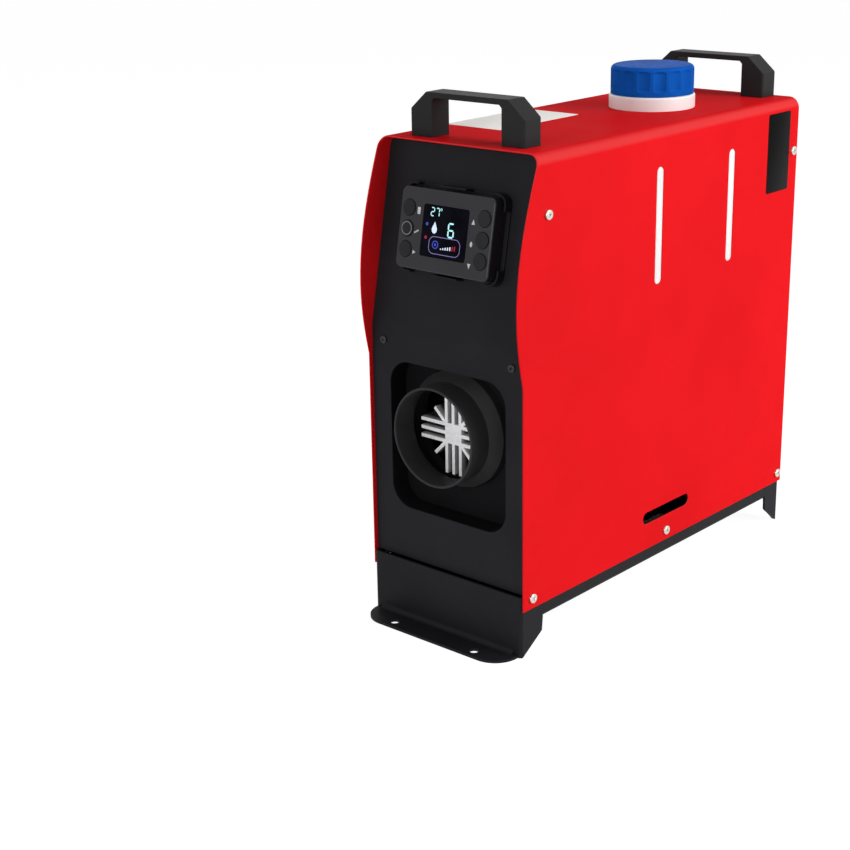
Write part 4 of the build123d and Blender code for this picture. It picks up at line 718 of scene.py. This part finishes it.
class HEATER_OT_screws(bpy.types.Operator):
    """Models the pan-head screws of the case and the front panel"""
    bl_idname = "heater.screws"
    bl_label = "Screws"

    def pan_head(self, trim, name, box, seat, across, out):
        """One screw along +Z from its seat at z = 0, of the size of the node's own solid."""
        size = box[1] - box[0]
        radius, head = size[across] / 2, size[out] - seat
        crown, shank_inset, tip_chamfer = 0.62 * head, 0.45 * radius, 0.4 * MM
        screw = start(bpy.ops.mesh.primitive_cylinder_add, name, vertices=48, radius=radius,
                      depth=head, location=(0, 0, head / 2))
        settle(screw)
        choose(screw, lambda c, d: c.z > 0.9 * head and abs(d.z) < 1e-6, "EDGE")
        bpy.ops.mesh.bevel(offset=crown, segments=6, profile=0.6)
        choose(screw, lambda c, n: n.z < -0.9)
        bpy.ops.mesh.inset(thickness=shank_inset)
        bpy.ops.mesh.extrude_region_move(TRANSFORM_OT_translate={"value": (0, 0, -seat)})
        bpy.ops.mesh.bevel(offset=tip_chamfer, segments=1)
        deselect()
        for turn in (0, 90):
            cutter = start(bpy.ops.mesh.primitive_cube_add, "driver", size=1,
                           location=(0, 0, head), rotation=(0, 0, math.radians(turn)))
            cutter.scale = (trim.recess_span * radius, trim.recess_width, 2 * trim.recess_depth)
            settle(cutter)
            choose(cutter, lambda c, n: n.z < -0.9)
            bpy.ops.transform.resize(value=(0.4, 0.4, 1))
            deselect()
            modify(screw, "BOOLEAN", operation="DIFFERENCE", object=cutter, solver="EXACT")
            bpy.data.objects.remove(cutter)
        smooth(screw, 30)
        return screw

    def execute(self, context):
        colours, trim = finishes(context)
        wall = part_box("case_shell")[1].x
        boxes = solids_of("case_screws")
        depth = wall - boxes[-1][0].x
        screw = self.pan_head(trim, "case_screws_cross", boxes[-1], depth, 1, 0)
        places = []
        for low, high in boxes:
            side = 1 if high.x > 0 else -1
            middle = (low + high) / 2
            seat = Vector((wall * side, middle.y, middle.z))
            # each screw stops at a turn of its own, in radians worked out from its place in metres
            spin = Matrix.Rotation(seat.y * 40 + seat.z * 25, 4, "Z")
            places.append(Matrix.Translation(seat) @ Matrix.Rotation(side * math.pi / 2, 4, "Y") @ spin)
        screws = wear(copies(screw, places), zinc_plate(colours.zinc), "case", "zinc_steel")
        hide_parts("case_screws")

        boxes = solids_of("panel_screws")
        panel_sheet = 1.5 * MM
        panel_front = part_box("pocket_tray")[0].y - panel_sheet
        depth = boxes[0][1].y - panel_front
        screw = self.pan_head(trim, "panel_screws_cross", boxes[0], depth, 0, 1)
        places = []
        for low, high in boxes:
            middle = (low + high) / 2
            seat = Matrix.Translation((middle.x, panel_front, middle.z))
            places.append(seat @ Matrix.Rotation(math.pi / 2, 4, "X"))
        black = black_screw_finish((0.02, 0.02, 0.02))
        screws = wear(copies(screw, places), black, "case", "black_screw")
        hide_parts("panel_screws")
        return {"FINISHED"}


class HEATER_OT_stickers(bpy.types.Operator):
    """Lays the bare stickers on the top and the right side"""
    bl_idname = "heater.stickers"
    bl_label = "Stickers"

    def sticker(self, trim, name, width, height, place, material, slot):
        """A thin film with round corners, its back on the surface."""
        thickness = trim.sticker_thickness
        film = plate(name, width, height, thickness, trim.sticker_corner, thickness / 3)
        wear(settle(film, place), material, "case", slot)

    def execute(self, context):
        colours, trim = finishes(context)
        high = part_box("case_shell")[1]
        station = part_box("front_panel")[0].y + trim.top_sticker_station
        top = Matrix.Translation((trim.top_sticker_x, station, high.z))
        pale = printed("pale_sticker", colours.sticker, 0.4, 0.5)
        self.sticker(trim, "top_sticker", trim.top_sticker_width, trim.top_sticker_depth, top, pale,
                     "white_plastic")
        side = Matrix.Translation((high.x, high.y - trim.side_sticker_setback,
                                   high.z - trim.side_sticker_drop))
        dark = printed("dark_sticker", colours.dark_sticker, 0.3)
        self.sticker(trim, "side_sticker", trim.side_sticker_width, trim.side_sticker_height,
                     side @ FACING_RIGHT, dark, "control_plastic")
        return {"FINISHED"}


# ---- handles, filler, rear
class HEATER_OT_handles(bpy.types.Operator):
    """Finishes both moulded handles"""
    bl_idname = "heater.handles"
    bl_label = "Handles"

    def execute(self, context):
        colours, trim = finishes(context)
        black = moulded_plastic("handle_black", colours.moulding, 0.5, 1500)
        for node in ("front_handle", "rear_handle"):
            eased(node, node + "_moulding", trim.moulded_edge, black, "black_plastic", crisp=20)
        return {"FINISHED"}


class HEATER_OT_filler(bpy.types.Operator):
    """Finishes the tank, collar and cap, and cuts the neck's thread"""
    bl_idname = "heater.filler"
    bl_label = "Filler"

    def thread(self, trim, material):
        """A trapezoid ridge wound up the neck's turned-down stretch."""
        nut_low, nut_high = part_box("neck_nut")
        liner_low, liner_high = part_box("cap_liner")
        middle = (nut_low + nut_high) / 2
        play, sink = 0.1 * MM, 0.2 * MM
        crest = (liner_high.x - liner_low.x) / 2 - play
        root = crest - trim.thread_height - sink
        rise = trim.thread_pitch * trim.thread_turns
        base = (nut_high.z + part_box("fuel_tank")[1].z - rise) / 2
        ridge = start(bpy.ops.mesh.primitive_plane_add, "neck_thread", size=1)
        corners = [(root, trim.thread_root / 2), (crest, trim.thread_crest / 2),
                   (crest, -trim.thread_crest / 2), (root, -trim.thread_root / 2)]
        for vertex, (across, along) in zip((ridge.data.vertices[i] for i in (0, 1, 3, 2)), corners):
            vertex.co = (across, 0, along)
        steps_a_turn = 48
        steps = int(steps_a_turn * trim.thread_turns)
        modify(ridge, "SCREW", angle=2 * math.pi * trim.thread_turns, screw_offset=rise, steps=steps,
               render_steps=steps, use_merge_vertices=False, use_normal_calculate=True)
        close_up(ridge)
        smooth(ridge, 30)
        settle(ridge, Matrix.Translation((middle.x, middle.y, base)))
        wear(ridge, material, "case", "white_plastic")

    def level_ribs(self, trim, material):
        """Upright ribs of the tank's right wall, which show its level in the shell's slots."""
        tank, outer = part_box("fuel_tank")[1].x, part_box("case_shell")[1].x
        shell, walls = NODES["case_shell"].data, {}
        near_face, shortest, longest = 2 * MM, 50 * MM, 120 * MM
        for face in shell.polygons:
            if abs(face.normal.y) > 0.9999 and face.center.x > outer - near_face:
                heights = [shell.vertices[v].co.z for v in face.vertices]
                walls.setdefault(round(face.center.y, 5), []).extend(heights)
        sides = sorted((y, min(z), max(z)) for y, z in walls.items() if shortest < max(z) - min(z) < longest)
        ribs = []
        for near, far in zip(sides[::2], sides[1::2]):
            wide = far[0] - near[0] - 2 * trim.rib_gap
            tall = near[2] - near[1] + wide
            proud = outer - trim.rib_sink - tank
            corner, rim = 0.498 * wide, 0.5 * MM
            rib = plate("level_ribs", wide, tall, proud, corner, rim)
            middle = Matrix.Translation((tank, (near[0] + far[0]) / 2, (near[1] + near[2]) / 2))
            ribs.append(settle(rib, middle @ FACING_RIGHT))
        if len(ribs) != 2:
            raise RuntimeError("the shell should have two level slots")
        wear(joined("level_ribs", ribs), material, "case", "white_plastic")

    def execute(self, context):
        colours, trim = finishes(context)
        wax, white = tank_plastic(colours.tank), collar_plastic(colours.collar)
        coat_nodes(wax, "fuel_tank")
        eased("neck_nut", "neck_collar", trim.moulded_edge, white, "white_plastic")
        eased("fuel_cap", "fuel_cap_moulding", trim.moulded_edge / 2, cap_plastic(colours.cap),
              "blue_plastic", crisp=28)
        coat_nodes(soft_rubber(colours.rubber), "cap_liner", "cable_grommet", "pipe_seals", "base_gasket",
                   "suction_hoses", "feed_hose")
        self.thread(trim, wax)
        self.level_ribs(trim, wax)
        return {"FINISHED"}


class HEATER_OT_rear(bpy.types.Operator):
    """Finishes the intake guard at the back"""
    bl_idname = "heater.rear"
    bl_label = "Rear"

    def execute(self, context):
        colours, trim = finishes(context)
        black = moulded_plastic("guard_black", colours.moulding, 0.5, 1700)
        eased("intake_guard", "intake_guard_moulding", trim.moulded_edge, black, "black_plastic")
        return {"FINISHED"}


# ---- controller
SEGMENTS = {"2": "abged", "6": "afgedc", "7": "abc"}


class HEATER_OT_controller(bpy.types.Operator):
    """Finishes the controller, its keys with their marks, and the lit display"""
    bl_idname = "heater.controller"
    bl_label = "Controller"

    def flat(self, name, sides, half_width, half_height, x, y, z, thickness, turn=0.0):
        """A thin flat shape with eased rims, lying in the controller's frame."""
        shape = start(bpy.ops.mesh.primitive_cylinder_add, name, vertices=sides, radius=1, depth=1,
                      rotation=(0, 0, math.radians(turn)))
        settle(shape)
        shape.scale = (half_width, half_height, thickness)
        shape.location = (x, y, z + thickness / 2)
        settle(shape)
        choose(shape, lambda c, d: c.z > z + 0.9 * thickness, "EDGE")
        bpy.ops.mesh.bevel(offset=thickness / 3, segments=1)
        deselect()
        return shape

    def ring(self, name, radius, width, x, y, z, thickness):
        """A flat ring: a disc whose middle is taken out, with a wall round the hole."""
        hoop = start(bpy.ops.mesh.primitive_cylinder_add, name, vertices=48, radius=radius, depth=thickness,
                     location=(x, y, z + thickness / 2))
        settle(hoop)
        choose(hoop, lambda c, n: abs(n.z) > 0.9)
        bpy.ops.mesh.inset(thickness=width, use_individual=True)
        bpy.ops.mesh.bridge_edge_loops()
        deselect()
        return hoop

    def segment(self, x, y, long, wide, upright, z, thickness):
        """One lit segment with pointed ends."""
        piece = self.flat("segment", 6, long / 2, wide / 2 / math.sin(math.pi / 3), 0, 0, 0, thickness, 90)
        for vertex in piece.data.vertices:
            if abs(vertex.co.x) < 0.45 * long:
                vertex.co.x = math.copysign(long / 2 - wide / 2, vertex.co.x)
        place = Matrix.Translation((x, y, z)) @ Matrix.Rotation(math.pi / 2 if upright else 0, 4, "Z")
        return settle(piece, place)

    def digit(self, text, x, y, height, stroke, z, thickness):
        """One digit of seven segments, x and y at its middle, half as wide as high."""
        half, side = height / 2, height / 4
        long = half - stroke * height * 0.35
        spots = {"a": (0, half, False), "g": (0, 0, False), "d": (0, -half, False),
                 "b": (side, side, True), "c": (side, -side, True),
                 "f": (-side, side, True), "e": (-side, -side, True)}
        return [self.segment(x + dx, y + dy, long, stroke * height, upright, z, thickness)
                for dx, dy, upright in (spots[letter] for letter in SEGMENTS[text])]

    def marks(self, display, face, ink, level):
        """Small marks beside the keys: square, wave, arrow; arrow up, dot, arrow down."""
        half, thick = display.mark, display.mark_thickness
        keys = [on_face("button_left_" + row, face).y for row in ("top", "middle", "bottom")]
        left, right = -display.mark_column, display.mark_column
        low = [key - display.left_drop for key in keys]
        lower = [key - display.right_drop for key in keys]
        outlines = [(4, 1.5, 2.7, left, low[0], 45), (3, 1.5, 1.3, left - half, low[2], -90),
                    (3, 1.4, 2.0, right, lower[0], 0), (24, 0.9, 1.5, right, lower[1], 0),
                    (3, 1.4, 2.0, right, lower[2], 180)]
        outlines += [(16, 0.6, 0.5, left + (step - 1.4) * half * 1.1, low[1] + (step - 1) * half * 0.6, 0)
                     for step in range(3)]
        shapes = [self.flat("mark", sides, half * wide, half * tall, x, y, level, thick, turn)
                  for sides, wide, tall, x, y, turn in outlines]
        marks = settle(joined("key_marks", shapes), face)
        smooth(marks)
        wear(marks, ink, "case", "white_plastic")

    def dot(self, y, lie):
        """A dot at the left end of the picture."""
        radius = 1.2 * MM
        return self.flat("dot", 16, radius, radius, -16.8 * MM, y, *lie)

    def numbers(self, display, lie):
        """The temperature with its degree ring, and the level."""
        small, large = display.small_digit, display.large_digit
        digits = (("2", -12.6, 13.4, small), ("7", -8.0, 13.4, small), ("6", 5.6, 2.2, large))
        pieces = []
        for text, x, y, height in digits:
            pieces += self.digit(text, x * MM, y * MM, height, display.stroke, *lie)
        return pieces + [self.ring("degree", 0.9 * MM, 0.35 * MM, -4.9 * MM, 15.6 * MM, *lie)]

    def flame(self, lie):
        """A disc whose upper half is drawn up to a point."""
        x, y, half_width, half_height, peak = -9.6 * MM, 1.4 * MM, 2.4 * MM, 3.0 * MM, 2.2 * MM
        disc = self.flat("flame", 24, half_width, half_height, x, y, *lie)
        for vertex in disc.data.vertices:
            lift = max(0.0, (vertex.co.y - y) / half_height)
            vertex.co.y += lift ** 3 * peak
            vertex.co.x = x + (vertex.co.x - x) * (1 - 0.6 * lift ** 2)
        return [disc]

    def dial(self, lie):
        """A ring round a hub, and the cool end's dot."""
        x, y, hub = -7.4 * MM, -9.2 * MM, 1.0 * MM
        return [self.ring("dial", 2.9 * MM, 0.7 * MM, x, y, *lie),
                self.flat("hub", 16, hub, hub, x, y, *lie), self.dot(4.4 * MM, lie)]

    def border(self, level, thick):
        """A flat outline with round corners."""
        width, height, corner, line = 29 * MM, 12.4 * MM, 4.6 * MM, 0.45 * MM
        outline = start(bpy.ops.mesh.primitive_plane_add, "outline", size=1)
        outline.scale = (width, height, 1)
        outline.location = (1.0 * MM, -9.6 * MM, level)
        settle(outline)
        choose(outline, kind="VERT")
        bpy.ops.mesh.bevel(offset=corner, segments=10, affect="VERTICES")
        bpy.ops.mesh.select_all(action="SELECT")
        bpy.ops.mesh.inset(thickness=line)
        bpy.ops.mesh.delete(type="FACE")
        deselect()
        modify(outline, "SOLIDIFY", thickness=thick, offset=1)
        return [outline]

    def bars(self, lie):
        """The heat bar's seven lozenges, each larger and higher than the one before."""
        growth, pitch = 0.28 * MM, 2.1 * MM
        return [self.flat("bar", 4, 0.75 * MM, 0.7 * MM + growth * step, pitch * step - 2.0 * MM,
                          growth * step - 11.6 * MM, *lie, 45) for step in range(7)]

    def picture(self, display, face, level):
        """The lit picture: temperature, level, a flame, and a heat bar inside a round frame."""
        tones = {"pale": (0.42, 0.86, 0.84), "white": (0.62, 0.72, 0.86), "blue": (0.05, 0.07, 0.42),
                 "violet": (0.20, 0.17, 0.38), "red": (0.30, 0.02, 0.05)}
        light = {tone: lit("lit_" + tone, base, display.glow) for tone, base in tones.items()}
        lie = (level, display.mark_thickness)
        parts = {"display_numbers": (self.numbers(display, lie), "pale"),
                 "display_flame": (self.flame(lie), "white"),
                 "display_dial": (self.dial(lie), "blue"),
                 "display_frame": (self.border(*lie), "violet")}
        bars, cool = self.bars(lie), 5
        parts["display_bars"] = (bars[:cool], "white")
        parts["display_heat"] = (bars[cool:] + [self.dot(-5.0 * MM, lie)], "red")
        for name, (pieces, tone) in parts.items():
            piece = settle(joined(name, pieces), face)
            smooth(piece)
            wear(piece, light[tone], "case", "screen_glass")

    def execute(self, context):
        scene = context.scene
        colours, trim, display = scene.heater_colours, scene.heater_trim, scene.heater_display
        face = controller_face()
        housing = moulded_plastic("housing_grey", colours.housing, 0.34, 2300, 0.3)
        eased("control_front", "control_bezel", trim.moulded_edge / 2, housing, "control_plastic")
        coat_nodes(housing, "control_back")
        eased("control_bracket", "control_bracket_coated", trim.moulded_edge, black_coat(colours.coat),
              "black_coat")
        coat_nodes(moulded_plastic("key_black", colours.key, 0.5, 2600),
                   *[node for node in NODES if node.startswith(("button_left", "button_right"))])
        coat_nodes(screen_glass(), "screen")
        coat_nodes(circuit_board((0.02, 0.16, 0.06)), "control_board", "button_switches")
        ink = printed("mark_ink", colours.print_ink)
        self.marks(display, face, ink, 0.0)
        self.picture(display, face, on_face("screen", face).z)
        # a pale ring at the middle key's rim: painted highlight of its edge
        key = on_face("button_left_middle", face)
        ring = self.ring("key_rim_highlight", display.rim_highlight_radius, display.rim_highlight_width, key.x, key.y, key.z,
                         display.mark_thickness)
        settle(ring, face)
        smooth(ring)
        wear(ring, printed("rim_highlight_ink", shade(colours.print_ink, 0.35)), "button_left_middle", "key_plastic")
        return {"FINISHED"}


# ---- outlet and the heater inside
class HEATER_OT_outlet(bpy.types.Operator):
    """Finishes the outlet pocket, the duct and the finned casting behind it"""
    bl_idname = "heater.outlet"
    bl_label = "Outlet"

    def execute(self, context):
        colours, trim = finishes(context)
        # the pocket's moulding has a low gloss and a near-black tone, the tone being painted shade of its
        # recess
        pocket_shaded_black = moulded_plastic("pocket_black", colours.tray, 0.6, 1800, 0.03)
        black = moulded_plastic("duct_black", colours.duct, 0.44, 1800)
        eased("pocket_tray", "pocket_tray_moulding", trim.moulded_edge, pocket_shaded_black, "black_plastic")
        coat_nodes(black, "outlet_duct", "outlet_hood", "jacket_lower", "jacket_upper", "inlet_hood")
        star_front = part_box("heat_exchanger")[0].y
        # the casting's painted shade starts this far behind its front and is full further in
        shade_start_depth, shade_full_depth = 0.8 * MM, 6 * MM
        casting = cast_aluminium(colours.casting, star_front + shade_start_depth, star_front + shade_full_depth)
        coat_nodes(casting, "heat_exchanger")
        return {"FINISHED"}


class HEATER_OT_inside(bpy.types.Operator):
    """Finishes the burner, blower, pump and fittings inside the case"""
    bl_idname = "heater.inside"
    bl_label = "Inside"

    def execute(self, context):
        colours = context.scene.heater_colours
        steel = (0.56, 0.55, 0.53)
        coat_nodes(drawn_steel("burner_steel", steel, (1, 0.06, 1)), "burner", "glow_plug", "rotor_shaft",
                   "blower_motor")
        coat_nodes(drawn_steel("tube_steel", steel, (1, 1, 0.06)), "exhaust_pipe", "fuel_pipe")
        coat_nodes(zinc_plate(colours.zinc), "handle_screws", "tank_shelf", "mount_bridge", "mount_nuts",
                   "pump_clamp", "overheat_sensor")
        coat_nodes(moulded_plastic("inner_black", colours.moulding, 0.5, 1400), "control_unit", "fuel_pump",
                   "intake_pipe")
        coat_nodes(moulded_plastic("wheel_black", shade(colours.moulding, 1.6), 0.42, 2000), "fan_wheel",
                   "combustion_wheel")
        coat_nodes(printed("housing_aluminium", colours.casting, 0.5), "blower_housing")
        coat_nodes(turned_brass((0.76, 0.58, 0.26)), "tank_outlet")
        coat_nodes(printed("filter_amber", (0.72, 0.60, 0.36), 0.3), "fuel_filter")
        return {"FINISHED"}


# ---- studio
class HEATER_OT_studio(bpy.types.Operator):
    """Sets up the pale floor, the soft lamps and the camera"""
    bl_idname = "heater.studio"
    bl_label = "Studio"

    def camera_rays(self, tree):
        """1 for what is seen directly, in a mirror or through glass, else 0."""
        path = tree.nodes.new("ShaderNodeLightPath")
        seen = path.outputs["Is Camera Ray"]
        for ray in ("Is Glossy Ray", "Is Transmission Ray"):
            either = tree.nodes.new("ShaderNodeMath")
            either.operation = "MAXIMUM"
            tree.links.new(seen, either.inputs[0])
            tree.links.new(path.outputs[ray], either.inputs[1])
            seen = either.outputs[0]
        return seen

    def mixed(self, tree, share, plain, shown, output):
        """Shows one shader in place of another by a share."""
        mix = tree.nodes.new("ShaderNodeMixShader")
        tree.links.new(share, mix.inputs["Fac"])
        tree.links.new(plain.outputs[0], mix.inputs[1])
        tree.links.new(shown.outputs[0], mix.inputs[2])
        tree.links.new(mix.outputs[0], tree.nodes[output].inputs["Surface"])

    def world(self, scene, ambient):
        """A white surround that lights the heater less than it shows."""
        world = bpy.data.worlds.new("studio")
        world.use_nodes = True
        scene.world = world
        tree = world.node_tree
        light = tree.nodes["Background"]
        light.inputs["Color"].default_value = (1, 1, 1, 1)
        light.inputs["Strength"].default_value = ambient
        shown = tree.nodes.new("ShaderNodeBackground")
        shown.inputs["Color"].default_value = (1, 1, 1, 1)
        self.mixed(tree, self.camera_rays(tree), light, shown, "World Output")

    def floor(self, reach, plain, level):
        """A broad pale floor that stays near white and keeps the shadow."""
        ground = start(bpy.ops.mesh.primitive_plane_add, "studio_floor", size=2 * reach)
        material = new_finish("studio_floor", (0.90, 0.90, 0.90), 0.8, Specular_IOR_Level=0.1)
        tree = material.node_tree
        white = tree.nodes.new("ShaderNodeEmission")
        white.inputs["Color"].default_value = (1, 1, 1, 1)
        white.inputs["Strength"].default_value = level
        share = tree.nodes.new("ShaderNodeMath")
        share.operation = "MULTIPLY"
        share.inputs[1].default_value = plain
        tree.links.new(self.camera_rays(tree), share.inputs[0])
        self.mixed(tree, share.outputs[0], tree.nodes["Principled BSDF"], white, "Material Output")
        ground.data.materials.append(material)
        ground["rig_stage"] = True

    def lamp(self, name, power, size, place, aim):
        """A square soft lamp aimed at a point."""
        lamp = start(bpy.ops.object.light_add, name, type="AREA", location=place)
        lamp.data.energy = power
        lamp.data.size = size
        lamp.rotation_euler = (Vector(aim) - Vector(place)).to_track_quat("-Z", "Y").to_euler()

    def camera(self, scene, studio):
        """The camera at the photograph's viewing angle."""
        turn, rise, roll = studio.azimuth, studio.elevation, studio.roll
        back = Vector((math.sin(turn) * math.cos(rise), -math.cos(turn) * math.cos(rise), math.sin(rise)))
        level = Vector((math.cos(turn), math.sin(turn), 0))
        upright = back.cross(level)
        right = level * math.cos(roll) + upright * math.sin(roll)
        up = upright * math.cos(roll) - level * math.sin(roll)
        place = Matrix((right, up, back)).transposed().to_4x4()
        place.translation = (studio.camera_x, studio.camera_y, studio.camera_z)
        camera = start(bpy.ops.object.camera_add, "studio_camera")
        camera.matrix_world = place
        camera.data.lens = studio.lens
        camera.data.sensor_width = 36
        camera.data.clip_end = 100
        scene.camera = camera

    def execute(self, context):
        scene = context.scene
        studio = scene.heater_studio
        scene.view_settings.view_transform = "Standard"
        self.world(scene, studio.ambient)
        self.floor(studio.floor_reach, studio.floor_share, studio.floor_white)
        low, high = cad_box
        aim = (Vector(low) + Vector(high)) / 2
        self.lamp("key", studio.key_power, 1.0, (1.7, 0.55, 0.85), aim)
        self.lamp("fill", studio.fill_power, 0.9, (0.25, -2.3, 0.62), aim)
        self.lamp("top", studio.top_power, 1.2, (0.1, 0.1, 2.0), aim)
        self.camera(scene, studio)
        return {"FINISHED"}


# ---- panel and registration
STEPS = ("case", "screws", "stickers", "handles", "filler", "rear", "controller", "outlet", "inside",
         "studio")


class HEATER_PT_panel(bpy.types.Panel):
    """Lists the steps that dress the heater"""
    bl_label = "Heater"
    bl_idname = "HEATER_PT_panel"
    bl_space_type = "VIEW_3D"
    bl_region_type = "UI"
    bl_category = "Heater"

    def draw(self, context):
        for step in STEPS:
            self.layout.operator("heater." + step)


GROUPS = {"heater_colours": HeaterColours, "heater_trim": HeaterTrim, "heater_display": HeaterDisplay,
          "heater_studio": HeaterStudio}
CLASSES = (HeaterColours, HeaterTrim, HeaterDisplay, HeaterStudio, HEATER_OT_case, HEATER_OT_screws,
           HEATER_OT_stickers, HEATER_OT_handles, HEATER_OT_filler, HEATER_OT_rear, HEATER_OT_controller,
           HEATER_OT_outlet, HEATER_OT_inside, HEATER_OT_studio, HEATER_PT_panel)


def register():
    for item in CLASSES:
        bpy.utils.register_class(item)
    for name, group in GROUPS.items():
        setattr(bpy.types.Scene, name, bpy.props.PointerProperty(type=group))


def unregister():
    for name in GROUPS:
        delattr(bpy.types.Scene, name)
    for item in reversed(CLASSES):
        bpy.utils.unregister_class(item)


def corners(box):
    """A box as plain lists of numbers."""
    return [[float(value) for value in corner] for corner in box]


def main():
    register()
    for step in STEPS:
        getattr(bpy.ops.heater, step)()
    {"cad": corners(cad_box), "visual": corners(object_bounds())}


if __name__ == "__main__":
    main()
